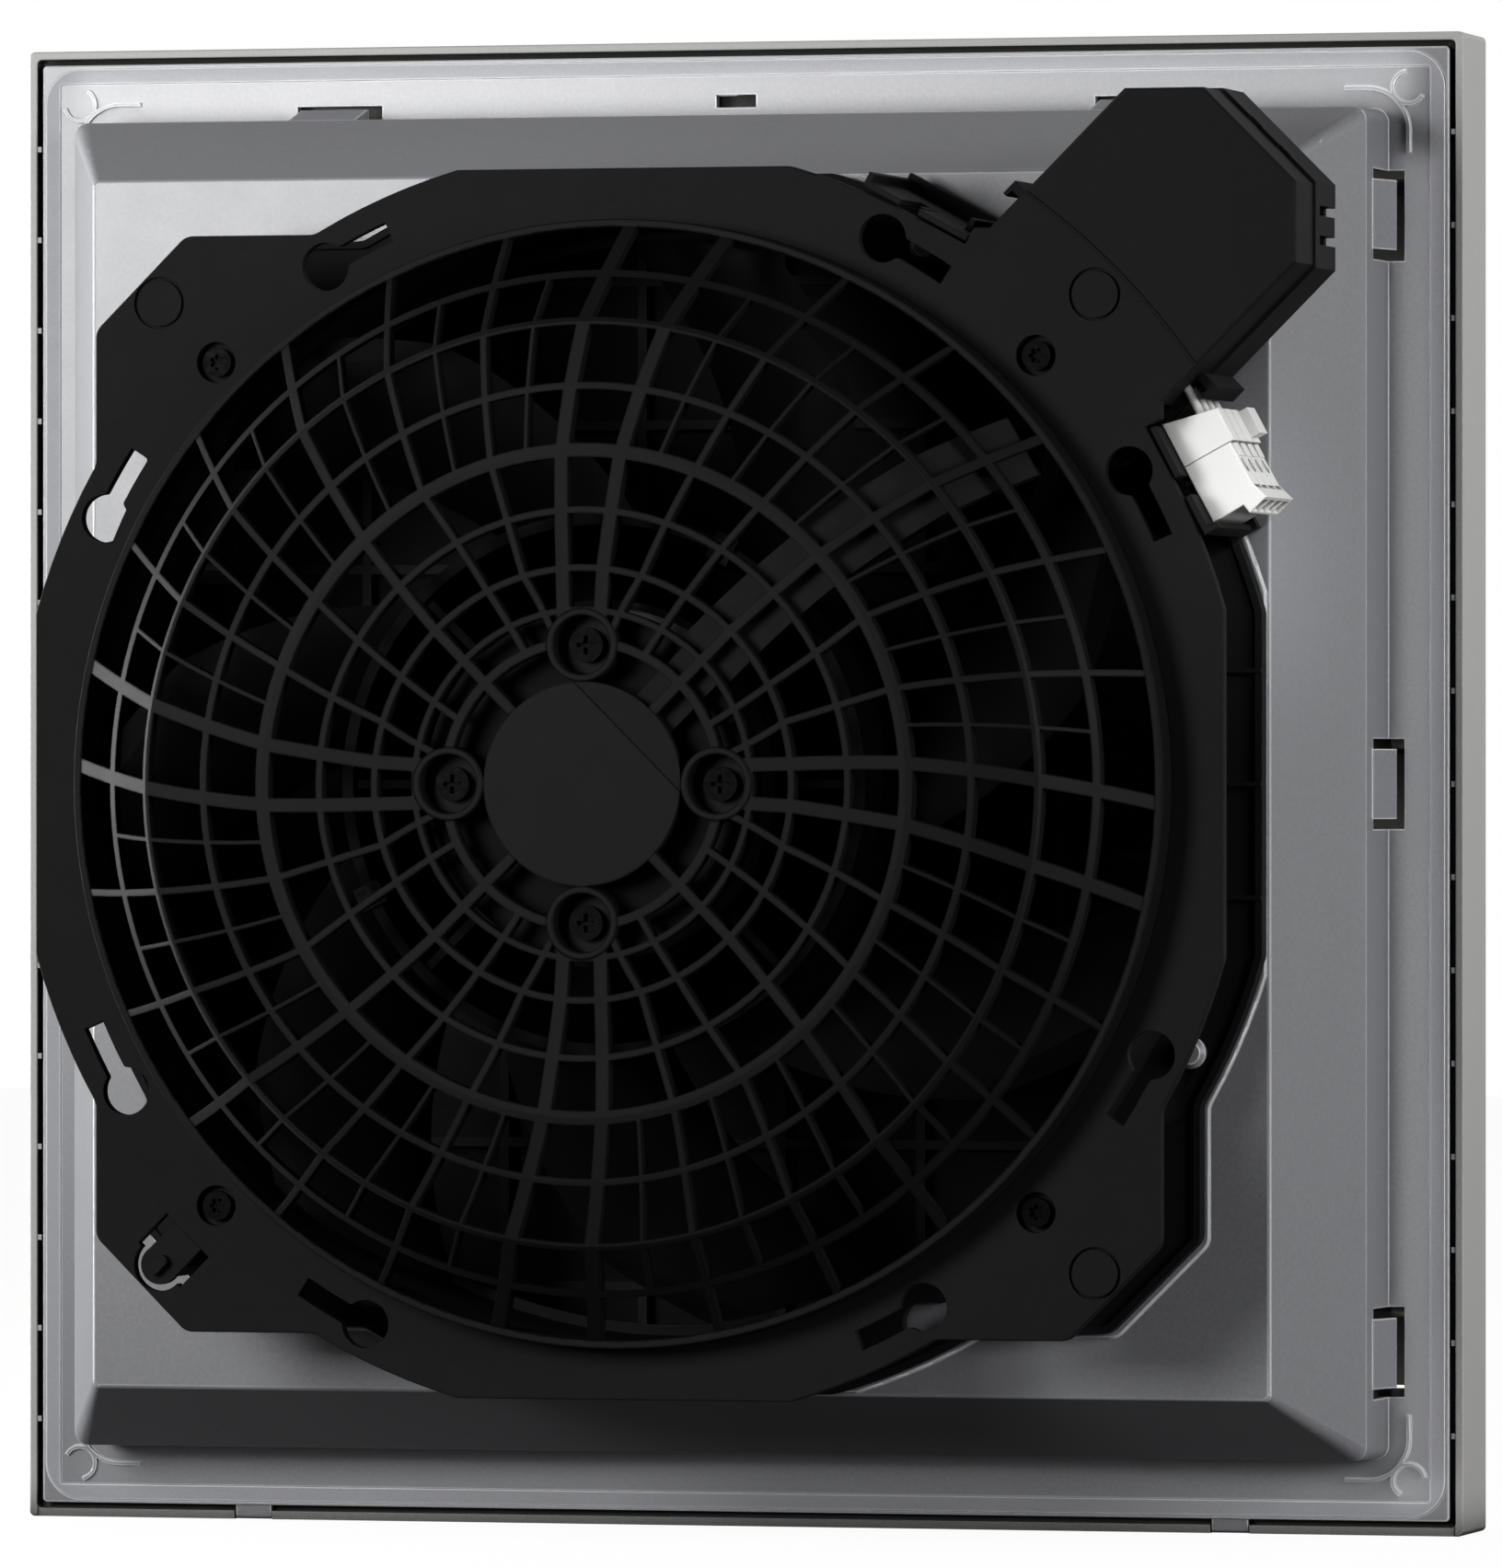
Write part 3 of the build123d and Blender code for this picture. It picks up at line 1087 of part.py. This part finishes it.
def all_nodes():
    """Every node's name and solid, in the drawing frame."""
    low_bearing, high_bearing = bearing_levels()
    nodes = {
        "housing_tray": housing_tray(),
        "panel_seal": panel_seal(),
        "mat_support_grid": mat_support_grid(),
        "filter_mat": filter_mat(),
        "hinge_pins": hinge_pins(),
        "louvre_grille": louvre_grille(),
        "front_shell": front_shell(),
        "rear_shell": rear_shell(),
        "lock_tongue": lock_tongue(),
        "shell_screws": shell_screws(),
        "terminal_box_cover": terminal_box_cover(),
        "terminal_box_base": terminal_box_base(),
        "run_capacitor": run_capacitor(),
        "rear_guard": rear_guard(),
        "hub_screws": hub_screws(),
        "cable_channel": cable_channel(),
        "motor_lead": motor_lead(),
        "motor_flange": motor_flange(),
        "rear_bearing": bearing(high_bearing),
        "front_bearing": bearing(low_bearing),
        "stator_core": stator_core(),
        "stator_windings": stator_windings(),
        "rotor_cup": rotor_cup(),
        "magnet_ring": magnet_ring(),
        "rotor_shaft": rotor_shaft(),
        "shaft_ring": shaft_ring(),
        "impeller": impeller(),
        "balance_clips": balance_clips(),
        "terminal_holder": terminal_holder(),
        "spare_holder": spare_holder(),
        "connector_header": connector_header(),
        "connector_plug": connector_plug(),
        "terminal_leads": group(leads(LEAD_RADIUS)),
        "lead_clip": lead_clip(),
    }
    for pole in range(POLE_COUNT):
        nodes[f"release_button_{pole + 1}"] = release_button(pole)
    return nodes


os.makedirs("parts", exist_ok=True)
for name, piece in all_nodes().items():
    export_step(stood_up(piece), f"parts/{name}.step")
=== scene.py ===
"""The look of the filter fan: camera, light, floor, procedural materials and the soft filter mat."""

import json
import math

import bpy
import bmesh
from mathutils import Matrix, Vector, noise


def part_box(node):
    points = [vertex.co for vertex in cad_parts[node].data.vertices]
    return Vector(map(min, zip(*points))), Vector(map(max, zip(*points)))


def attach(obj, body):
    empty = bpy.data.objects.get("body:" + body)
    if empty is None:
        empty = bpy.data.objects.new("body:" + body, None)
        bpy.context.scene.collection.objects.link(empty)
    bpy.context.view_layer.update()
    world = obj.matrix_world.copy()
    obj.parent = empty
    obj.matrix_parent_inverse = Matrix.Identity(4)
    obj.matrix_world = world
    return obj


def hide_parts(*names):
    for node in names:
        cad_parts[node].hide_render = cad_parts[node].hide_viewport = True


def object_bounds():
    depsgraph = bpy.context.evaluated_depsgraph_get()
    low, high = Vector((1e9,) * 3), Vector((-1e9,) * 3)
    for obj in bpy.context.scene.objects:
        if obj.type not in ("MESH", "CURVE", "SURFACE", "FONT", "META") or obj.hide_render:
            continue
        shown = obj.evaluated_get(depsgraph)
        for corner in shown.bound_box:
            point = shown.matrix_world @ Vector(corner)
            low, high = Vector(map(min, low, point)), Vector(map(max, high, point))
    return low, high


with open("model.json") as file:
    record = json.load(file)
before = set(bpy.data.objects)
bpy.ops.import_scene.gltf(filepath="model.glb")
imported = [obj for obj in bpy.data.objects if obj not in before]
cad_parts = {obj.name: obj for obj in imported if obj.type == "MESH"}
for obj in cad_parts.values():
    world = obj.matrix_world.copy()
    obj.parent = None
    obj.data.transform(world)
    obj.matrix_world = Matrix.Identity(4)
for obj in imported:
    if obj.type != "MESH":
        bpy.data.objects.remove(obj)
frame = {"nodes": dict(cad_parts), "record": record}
cad_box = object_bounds()
scene = bpy.context.scene
nodes = frame["nodes"]

# Camera: level, 15 degrees from the fan axis, seen through a long lens. Places are in metres
VIEW_AZIMUTH = math.radians(15.07)
VIEW_DISTANCE = 2.941
AIM_TURN = math.radians(0.0624)
LENS_MM = 310.3
SENSOR_MM = 36.0
CLIP_NEAR = 0.1
CLIP_FAR = 60.0

# Lights: name, place, target, size, power in watts
AREAS = [
    ("key_upper_left", (-0.43, -0.95, 0.20), (-0.10, 0.0, 0.08), (0.36, 0.40), 8.6),
    ("fill_right", (1.9, -0.75, 0.35), (0.05, 0.0, 0.0), (0.9, 0.9), 30.0),
    ("side_left", (-1.6, 0.12, 0.10), (-0.15, 0.0, 0.0), (0.5, 0.5), 40.0),
]

# Strips: name, x and z of the middle of the lit border, size, power in watts
BORDER = 0.1515
STRIP_WIDTH = 0.010
STRIP_Y = -0.5
STRIP_SPREAD = math.radians(1.2)
STRIPS = [
    ("strip_top", (0.0, BORDER), (0.30, STRIP_WIDTH), 0.006),
    ("strip_right", (BORDER, -0.01), (STRIP_WIDTH, 0.29), 0.0034),
    ("strip_bottom", (0.0, -BORDER), (0.30, STRIP_WIDTH), 0.0012),
]

# Floor: how far it reaches, its colour, and its glow to the camera
FLOOR_REACH = 4.0
FLOOR_COLOR = (0.06, 0.06, 0.06)
FLOOR_GLOW = 0.95
WHITE = (1.0, 1.0, 1.0, 1.0)

# World as light: its strengths, and the ranges of direction (+Y is behind the fan) where they change
WORLD_BACK = 1.05
WORLD_FRONT = 0.13
WORLD_ZENITH = 0.16
BACK_RANGE = (-0.25, 0.45)
HORIZON_RANGE = (-0.3, 0.1)
ZENITH_RANGE = (0.25, 0.9)

# Moulded plastic: noise scales, and the ranges of noise that a change of tone or gloss spans
CLOUD_SCALE = 14.0
STREAK_SCALE = 60.0
FLOW_STRETCH = (1.0, 1.0, 0.18)
CLOUD_RANGE = (0.7, 1.3)
SPECK_RANGE = (0.35, 0.7)
SPECK_LIFT = 4.0
GLOSS_RANGE = (0.3, 0.7)
GLOSS_GRAIN = 0.11
GLOSS_SWING = 0.01
FINE_STRENGTH = 0.35
SOFT_SAMPLES = 4

# Painted highlight and shade: how far a normal turns at an edge, and the painted shade tones of deep
# gaps and the well
EDGE_RANGE = (0.95, 0.999)
DULL_EDGE_RANGE = (0.92, 0.998)
GAP_DISTANCE = 0.010
GAP_SHADE_TONE = 0.03
WELL_SHADE_TONE = 0.02
WELL_BORDER = 0.0004
ACROSS_AXIS = (1.0, 0.0, 1.0)

# Metal: tones and gloss about the given ones
METAL_TONES = (0.86, 1.08)
METAL_SWING = 0.08
METAL_GLOSS_GRAIN = 0.3
METAL_STRENGTH = 0.4

# Fleece: turns and stretch of its layers of strands, and its tones
STRAND_TURNS = (0.3, 1.4, 2.4)
STRAND_TILT = 0.4
STRAND_TWIST = 1.7
STRAND_STRETCH = (1.0, 1.0, 14.0)
STRAND_SCALE = 260.0
STRAND_RANGE = (0.45, 0.75)
FLEECE_TONES = (0.74, 1.05)

# Filter mat, in metres: rounded border, clearances to its room, and height of its lumps
MAT_CELLS = 96
ROUND_WIDTH = 0.006
BORDER_SHARE = 0.72
MIDDLE_SHARE = 0.28
FACE_CLEARANCE = 0.0009
SIDE_CLEARANCE = 0.003
LUMP_HEIGHT = 0.0008
WANDER = 0.0006

BLACK = (0.0062, 0.0062, 0.0064)


def add_camera():
    """The camera at the photograph's viewing angle."""
    data = bpy.data.cameras.new("view_camera")
    data.lens = LENS_MM
    data.sensor_width = SENSOR_MM
    data.clip_start = CLIP_NEAR
    data.clip_end = CLIP_FAR
    camera = bpy.data.objects.new("view_camera", data)
    camera.location = (VIEW_DISTANCE * math.sin(VIEW_AZIMUTH),
                       -VIEW_DISTANCE * math.cos(VIEW_AZIMUTH), 0.0)
    camera.rotation_euler = (math.pi / 2, 0.0, VIEW_AZIMUTH - AIM_TURN)
    scene.collection.objects.link(camera)
    scene.camera = camera


def add_area(name, place, target, size, power, spread=None):
    """A rectangular light aimed at a point: soft, or a narrow beam with a small spread."""
    data = bpy.data.lights.new(name, "AREA")
    data.shape = "RECTANGLE"
    data.size = size[0]
    data.size_y = size[1]
    if spread is not None:
        data.spread = spread
    data.energy = power
    hang(data, place, target)


def add_spot(name, place, target, angle, radius, power):
    """A round light with a wide soft edge."""
    data = bpy.data.lights.new(name, "SPOT")
    data.spot_size = math.radians(angle)
    data.spot_blend = 1.0
    data.shadow_soft_size = radius
    data.energy = power
    hang(data, place, target)


def hang(data, place, target):
    """Puts a light in its place, aimed at its target and hidden from the camera."""
    light = bpy.data.objects.new(data.name, data)
    light.location = place
    light.rotation_euler = (Vector(place) - Vector(target)).to_track_quat("Z", "Y").to_euler()
    light.visible_camera = False
    scene.collection.objects.link(light)


class Nodes:
    """A short way to build the node tree of a material or of the world."""

    def __init__(self, owner, output="ShaderNodeOutputMaterial"):
        self.owner = owner
        owner.use_nodes = True
        self.tree = owner.node_tree
        self.tree.nodes.clear()
        self.output = self.tree.nodes.new(output)

    def plug(self, socket, value):
        """Links a socket to another one, or sets its value."""
        if isinstance(value, bpy.types.NodeSocket):
            self.tree.links.new(value, socket)
        else:
            socket.default_value = value

    def add(self, kind, inputs=None, **settings):
        """A node with its settings and with values or links for its inputs."""
        node = self.tree.nodes.new(kind)
        for key, value in settings.items():
            setattr(node, key, value)
        for key, value in (inputs or {}).items():
            self.plug(node.inputs[key], value)
        return node

    def place(self):
        """Object coordinates, in metres."""
        return self.add("ShaderNodeTexCoord").outputs["Object"]

    def calc(self, operation, first, second):
        """Arithmetic on two values."""
        return self.add("ShaderNodeMath", {0: first, 1: second}, operation=operation).outputs[0]

    def noise(self, vector, scale, detail=3.0, rough=0.55):
        """Plain noise."""
        made = self.add("ShaderNodeTexNoise", {"Vector": vector, "Scale": scale, "Detail": detail,
                                               "Roughness": rough})
        return made.outputs["Fac"]

    def ramp(self, factor, low, high, start=0.0, end=1.0, **settings):
        """Maps a factor to a range of values."""
        made = self.add("ShaderNodeMapRange", {"Value": factor, "From Min": start, "From Max": end,
                                               "To Min": low, "To Max": high}, **settings)
        return made.outputs["Result"]

    def mix(self, factor, first, second):
        """A blend of two colours."""
        made = self.add("ShaderNodeMix", data_type="RGBA")
        sockets = [s for s in made.inputs if s.enabled]
        for socket, value in zip(sockets, (factor, first, second)):
            self.plug(socket, value)
        return [s for s in made.outputs if s.enabled][0]

    def bump(self, height, strength, distance, normal=None):
        """A bump from a height."""
        inputs = {"Height": height, "Strength": strength, "Distance": distance}
        if normal is not None:
            inputs["Normal"] = normal
        return self.add("ShaderNodeBump", inputs).outputs["Normal"]

    def duller(self, gloss, amount):
        """A roughness raised where the amount is larger."""
        return self.calc("MAXIMUM", gloss, amount)

    def surface(self, **inputs):
        """The material with a plain shader; an underscore in a name stands for a space."""
        named = {key.replace("_", " "): value for key, value in inputs.items()}
        return self.finish(self.add("ShaderNodeBsdfPrincipled", named).outputs["BSDF"])

    def finish(self, shader):
        """The material or world with its shader in place."""
        self.tree.links.new(shader, self.output.inputs["Surface"])
        return self.owner


def tone(color, factor):
    """A colour made lighter or darker, as RGBA."""
    return tuple(min(1.0, c * factor) for c in color[:3]) + (1.0,)


def edge_bend(n, soft):
    """1 on flat faces and less where the soft normal of a rounded edge leaves the flat one."""
    # The mask for the painted highlights and shade on rounded edges.
    flat = n.add("ShaderNodeNewGeometry").outputs["Normal"]
    turned = n.add("ShaderNodeVectorMath", {0: soft, 1: flat}, operation="DOT_PRODUCT")
    return turned.outputs["Value"]


def open_sky(n, gap):
    """0 in deep gaps and 1 on open faces."""
    # The mask of the painted shade in deep gaps.
    sky = n.add("ShaderNodeAmbientOcclusion", {"Distance": GAP_DISTANCE}, samples=SOFT_SAMPLES)
    return n.ramp(sky.outputs["AO"], 0.0, 1.0, *gap)


def outside_well(n, radius):
    """0 nearer to the fan axis than a radius and 1 beyond it."""
    # The mask of the painted near-black shade in the bore.
    spot = n.add("ShaderNodeNewGeometry").outputs["Position"]
    across = n.add("ShaderNodeVectorMath", {0: spot, 1: ACROSS_AXIS}, operation="MULTIPLY")
    far = n.add("ShaderNodeVectorMath", {0: across.outputs["Vector"]}, operation="LENGTH")
    return n.ramp(far.outputs["Value"], 0.0, 1.0, radius - WELL_BORDER, radius)


def moulded(name, color, rough, grain, depth, spread=0.06, specular=0.5, edge=0.0, painted_edge_tone=1.0,
            well=0.0, gap=(0.18, 0.50)):
    """Moulded plastic: a fine texture, faint cloudiness and flow and, if asked, soft edges.

    A painted edge tone above 1 paints highlights on the rounded edges and paints shade into deep
    gaps, and one below 1 paints shade on the edges; both need an edge. The gap is how open to the
    sky a spot is where the painted shade is full and where it ends. The well is the radius about the
    fan axis inside which the surface is painted black as shade in the bore.
    """
    n = Nodes(bpy.data.materials.new(name))
    place = n.place()
    cloud = n.noise(place, CLOUD_SCALE, 4.0, 0.6)
    flow = n.add("ShaderNodeMapping", {"Vector": place, "Scale": FLOW_STRETCH}).outputs["Vector"]
    streak = n.noise(flow, STREAK_SCALE, 3.0)
    mixed = n.ramp(n.calc("ADD", cloud, streak), 0.0, 1.0, *CLOUD_RANGE)
    shade = n.mix(mixed, tone(color, 1.0 - spread), tone(color, 1.0 + spread))
    fine = n.noise(place, grain, 2.0, 0.6)
    speck_and_painted_light = n.mix(n.ramp(fine, 0.0, 1.0, *SPECK_RANGE), shade,
                  tone(color, 1.0 + SPECK_LIFT * spread))
    gloss = n.ramp(n.noise(place, grain * GLOSS_GRAIN, 2.0), rough - GLOSS_SWING,
                   rough + GLOSS_SWING, *GLOSS_RANGE)
    soft = None
    if edge:
        bevel = n.add("ShaderNodeBevel", {"Radius": edge}, samples=SOFT_SAMPLES)
        soft = bevel.outputs["Normal"]
    normal = n.bump(fine, FINE_STRENGTH, depth, soft)
    # Painted edge tone: rounded edges painted lighter as a highlight above 1 and darker as shade
    # below 1.
    if painted_edge_tone != 1.0:
        bend = edge_bend(n, soft)
        speck_and_painted_light = n.mix(n.ramp(bend, 1.0, 0.0, *EDGE_RANGE), speck_and_painted_light, tone(color, painted_edge_tone))
    if painted_edge_tone < 1.0:
        gloss = n.duller(gloss, n.ramp(bend, 1.0, 0.0, *DULL_EDGE_RANGE))
    # Above 1, painted shade: deep gaps are painted dark and made matt.
    if painted_edge_tone > 1.0:
        reach = open_sky(n, gap)
        speck_and_painted_light = n.mix(reach, tone(color, GAP_SHADE_TONE), speck_and_painted_light)
        gloss = n.duller(gloss, n.ramp(reach, 1.0, 0.0))
    # Painted shade: inside the well radius the bore is painted near black and made matt.
    if well:
        outside = outside_well(n, well)
        speck_and_painted_light = n.mix(outside, tone(color, WELL_SHADE_TONE), speck_and_painted_light)
        gloss = n.duller(gloss, n.ramp(outside, 1.0, 0.0))
    return n.surface(Base_Color=speck_and_painted_light, Roughness=gloss, Normal=normal,
                     Specular_IOR_Level=specular)


def metal(name, color, rough, grain, depth, stretch=(1.0, 1.0, 1.0)):
    """Bare metal with a fine turned, drawn or cast texture."""
    n = Nodes(bpy.data.materials.new(name))
    place = n.add("ShaderNodeMapping", {"Vector": n.place(), "Scale": stretch}).outputs["Vector"]
    fine = n.noise(place, grain, 4.0)
    dark, light = METAL_TONES
    shade = n.mix(fine, tone(color, dark), tone(color, light))
    gloss = n.ramp(n.noise(place, grain * METAL_GLOSS_GRAIN, 3.0), rough - METAL_SWING,
                   rough + METAL_SWING, *GLOSS_RANGE)
    return n.surface(Base_Color=shade, Roughness=gloss, Metallic=1.0,
                     Normal=n.bump(fine, METAL_STRENGTH, depth))


def fleece(name, color):
    """A loose fibre fleece."""
    n = Nodes(bpy.data.materials.new(name))
    place = n.place()
    strands = None
    for turn in STRAND_TURNS:
        way = {"Vector": place, "Rotation": (turn, STRAND_TILT, turn * STRAND_TWIST),
               "Scale": STRAND_STRETCH}
        wave = n.add("ShaderNodeMapping", way).outputs["Vector"]
        layer = n.noise(wave, STRAND_SCALE, 4.0, 0.7)
        strands = layer if strands is None else n.calc("MAXIMUM", strands, layer)
    dark, light = FLEECE_TONES
    shade = n.mix(n.ramp(strands, 0.0, 1.0, *STRAND_RANGE), tone(color, dark), tone(color, light))
    return n.surface(Base_Color=shade, Roughness=0.95, Sheen_Weight=0.05,
                     Normal=n.bump(strands, 0.8, 0.0006))


def sheath(name, color):
    """A smooth extruded sheath with faint drawing lines."""
    n = Nodes(bpy.data.materials.new(name))
    fine = n.noise(n.place(), 900.0, 3.0)
    shade = n.mix(fine, tone(color, 0.93), tone(color, 1.04))
    return n.surface(Base_Color=shade, Roughness=0.25, Normal=n.bump(fine, 0.2, 0.00004))


LOOKS = {
    # Housing: painted highlights on its rounded edges, painted shade in its deep gaps, and painted
    # near-black shade in the bore inside the well radius.
    "housing_plastic": (moulded, {
        "color": (0.175, 0.177, 0.189), "rough": 0.30, "grain": 1100.0, "depth": 0.00002,
        "spread": 0.035, "edge": 0.0005, "painted_edge_tone": 5.4, "well": 0.1192}),
    # Grille: painted highlights on its rounded edges and painted shade in its deep gaps.
    "grille_plastic": (moulded, {
        "color": (0.31, 0.307, 0.296), "rough": 0.46, "grain": 1300.0, "depth": 0.00005,
        "spread": 0.03, "edge": 0.0003, "painted_edge_tone": 1.8, "gap": (0.50, 0.85)}),
    # Seal: painted highlights on its rounded edges and painted shade in its deep gaps.
    "seal_foam": (moulded, {
        "color": (0.25, 0.252, 0.27), "rough": 0.45, "grain": 2600.0, "depth": 0.00006,
        "spread": 0.04, "specular": 0.4, "edge": 0.0005, "painted_edge_tone": 3.8}),
    # The pale fibre mat is painted near black: painted shade for the dark inside of the housing.
    "filter_fleece": (fleece, {"color": (0.010, 0.010, 0.0105)}),
    "grid_plastic": (moulded, {
        "color": (0.006, 0.006, 0.006), "rough": 0.6, "grain": 1300.0, "depth": 0.00006,
        "spread": 0.08, "specular": 0.1}),
    "shell_plastic": (moulded, {
        "color": tone(BLACK, 0.8), "rough": 0.68, "grain": 1100.0, "depth": 0.00010,
        "spread": 0.05, "specular": 0.10, "edge": 0.0003}),
    # Guard: painted shade on its rounded edges, which are also made matt.
    "guard_plastic": (moulded, {
        "color": tone(BLACK, 0.58), "rough": 0.60, "grain": 1200.0, "depth": 0.00006,
        "spread": 0.06, "specular": 0.095, "edge": 0.0006, "painted_edge_tone": 0.3}),
    # Black impeller made darker still than the black plastic: its own black, with painted shade for
    # the dark inside of the fan.
    "impeller_plastic": (moulded, {
        "color": tone(BLACK, 0.25), "rough": 0.6, "grain": 1200.0, "depth": 0.00006,
        "spread": 0.05, "specular": 0.03}),
    "black_screws": (metal, {
        "color": (0.0032, 0.0032, 0.0034), "rough": 0.5, "grain": 2200.0, "depth": 0.00004}),
    # The cast motor flange is painted near black: painted shade for the dark inside of the fan, the
    # casting itself being bare alloy.
    "coated_casting": (moulded, {
        "color": tone(BLACK, 0.35), "rough": 0.6, "grain": 1400.0, "depth": 0.00008,
        "spread": 0.05, "specular": 0.05}),
    # Connector: painted highlights on its rounded edges and painted shade in its deep gaps.
    "connector_plastic": (moulded, {
        "color": (0.66, 0.66, 0.645), "rough": 0.40, "grain": 1800.0, "depth": 0.00004,
        "spread": 0.01, "edge": 0.0002, "painted_edge_tone": 1.5}),
    "lead_sheath": (sheath, {"color": (0.55, 0.55, 0.54)}),
    "motor_sheath": (sheath, {"color": (0.012, 0.012, 0.012)}),
    # Bare steel painted near black: painted shade for the dark inside of the fan.
    "bare_steel": (metal, {
        "color": (0.003, 0.003, 0.0032), "rough": 0.5, "grain": 1800.0, "depth": 0.00003,
        "stretch": (1.0, 20.0, 1.0)}),
    "laminations": (metal, {
        "color": (0.30, 0.31, 0.33), "rough": 0.45, "grain": 900.0, "depth": 0.00008,
        "stretch": (1.0, 12.0, 1.0)}),
    "winding_copper": (metal, {
        "color": (0.60, 0.27, 0.12), "rough": 0.35, "grain": 900.0, "depth": 0.00020,
        "stretch": (1.0, 10.0, 10.0)}),
    "magnet_ferrite": (moulded, {
        "color": (0.05, 0.05, 0.055), "rough": 0.6, "grain": 1500.0, "depth": 0.00008}),
    "capacitor_can": (metal, {
        "color": (0.62, 0.62, 0.63), "rough": 0.35, "grain": 1500.0, "depth": 0.00003,
        "stretch": (1.0, 1.0, 8.0)}),
}
MATERIALS = {slot: make(slot, **look) for slot, (make, look) in LOOKS.items()}


def dress_nodes():
    """Gives every CAD node the material of its slot."""
    for part in frame["record"]["subparts"]:
        item = nodes[part["node"]]
        item.data.materials.clear()
        item.data.materials.append(MATERIALS[part["material_slot"]])


def ripple(x, z, scale, layer):
    """Smooth noise across the mat."""
    return noise.noise(Vector((x * scale, z * scale, layer)))


def filter_fleece_mat():
    """The filter mat: a soft slab with a lumpy face and rounded, slack edges."""
    low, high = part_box("filter_mat")
    size = high - low
    centre = (high + low) / 2
    mesh = bpy.data.meshes.new("filter_fleece_mat")
    shape = bmesh.new()
    bmesh.ops.create_grid(shape, x_segments=MAT_CELLS, y_segments=MAT_CELLS, size=0.5)
    front = list(shape.faces)
    bmesh.ops.solidify(shape, geom=front, thickness=1.0)
    for vert in shape.verts:
        x, z = vert.co.x, vert.co.y
        side = 1.0 if vert.co.z > 0.5 else -1.0
        edge = min(0.5 - abs(x), 0.5 - abs(z)) * size.x
        round_in = 1.0 - max(0.0, 1.0 - edge / ROUND_WIDTH) ** 2
        lump = ripple(x, z, 34, side * 7) * 0.5 + ripple(x, z, 90, side * 3) * 0.5
        half = (size.y / 2 * (BORDER_SHARE + MIDDLE_SHARE * round_in) - FACE_CLEARANCE
                + LUMP_HEIGHT * lump)
        wander = WANDER * ripple(x, z, 20, 5)
        vert.co = Vector((centre.x + x * (size.x - SIDE_CLEARANCE) + wander,
                          centre.y + side * half,
                          centre.z + z * (size.z - SIDE_CLEARANCE) + wander))
    bmesh.ops.recalc_face_normals(shape, faces=shape.faces)
    shape.to_mesh(mesh)
    shape.free()
    for face in mesh.polygons:
        face.use_smooth = True
    mat = bpy.data.objects.new("filter_fleece_mat", mesh)
    mesh.materials.append(MATERIALS["filter_fleece"])
    scene.collection.objects.link(mat)
    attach(mat, "housing")
    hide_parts("filter_mat")


def stage_material(name, color, glow):
    """A matt material with a white glow that only the camera sees."""
    n = Nodes(bpy.data.materials.new(name))
    path = n.add("ShaderNodeLightPath")
    strength = n.calc("MULTIPLY", path.outputs["Is Camera Ray"], glow)
    light = n.add("ShaderNodeEmission", {"Color": WHITE, "Strength": strength})
    matt = n.add("ShaderNodeBsdfDiffuse", {"Color": color + (1.0,)})
    both = n.add("ShaderNodeAddShader", {0: light.outputs[0], 1: matt.outputs[0]})
    return n.finish(both.outputs[0])


def add_floor():
    """A floor under the fan: dark as light, pale to the camera, with the fan's shadow on it."""
    low = cad_box[0][2]
    mesh = bpy.data.meshes.new("floor")
    corners = [(-FLOOR_REACH, -FLOOR_REACH, low), (FLOOR_REACH, -FLOOR_REACH, low),
               (FLOOR_REACH, FLOOR_REACH, low), (-FLOOR_REACH, FLOOR_REACH, low)]
    mesh.from_pydata(corners, [], [(0, 1, 2, 3)])
    floor = bpy.data.objects.new("floor", mesh)
    mesh.materials.append(stage_material("floor_paper", FLOOR_COLOR, FLOOR_GLOW))
    scene.collection.objects.link(floor)


def add_world():
    """White to the camera; as light, a bright wall behind the fan that fades to the front and up."""
    scene.world = bpy.data.worlds.new("pale_world")
    n = Nodes(scene.world, "ShaderNodeOutputWorld")
    generated = n.add("ShaderNodeTexCoord").outputs["Generated"]
    way = n.add("ShaderNodeSeparateXYZ", {0: generated})
    depth = n.ramp(way.outputs["Y"], WORLD_FRONT, WORLD_BACK, *BACK_RANGE,
                   interpolation_type="SMOOTHSTEP")
    rise = n.ramp(way.outputs["Z"], 0.0, 1.0, *HORIZON_RANGE)
    fall = n.ramp(way.outputs["Z"], 1.0, WORLD_ZENITH, *ZENITH_RANGE)
    level = n.calc("MULTIPLY", depth, n.calc("MULTIPLY", rise, fall))
    light = n.add("ShaderNodeBackground", {"Color": WHITE, "Strength": level})
    white = n.add("ShaderNodeBackground", {"Color": WHITE, "Strength": 1.0})
    seen = n.add("ShaderNodeLightPath").outputs["Is Camera Ray"]
    blend = n.add("ShaderNodeMixShader", {0: seen, 1: light.outputs[0], 2: white.outputs[0]})
    n.finish(blend.outputs[0])


add_camera()
for name, place, target, size, power in AREAS:
    add_area(name, place, target, size, power)
add_spot("connector_light", (0.62, -0.75, 0.34), (0.130, -0.07, 0.054), 4.2, 0.02, 16.0)
for name, (x, z), size, power in STRIPS:
    add_area(name, (x, STRIP_Y, z), (x, 0.0, z), size, power, STRIP_SPREAD)
add_floor()
add_world()
dress_nodes()
filter_fleece_mat()
scene.view_settings.view_transform = "Standard"
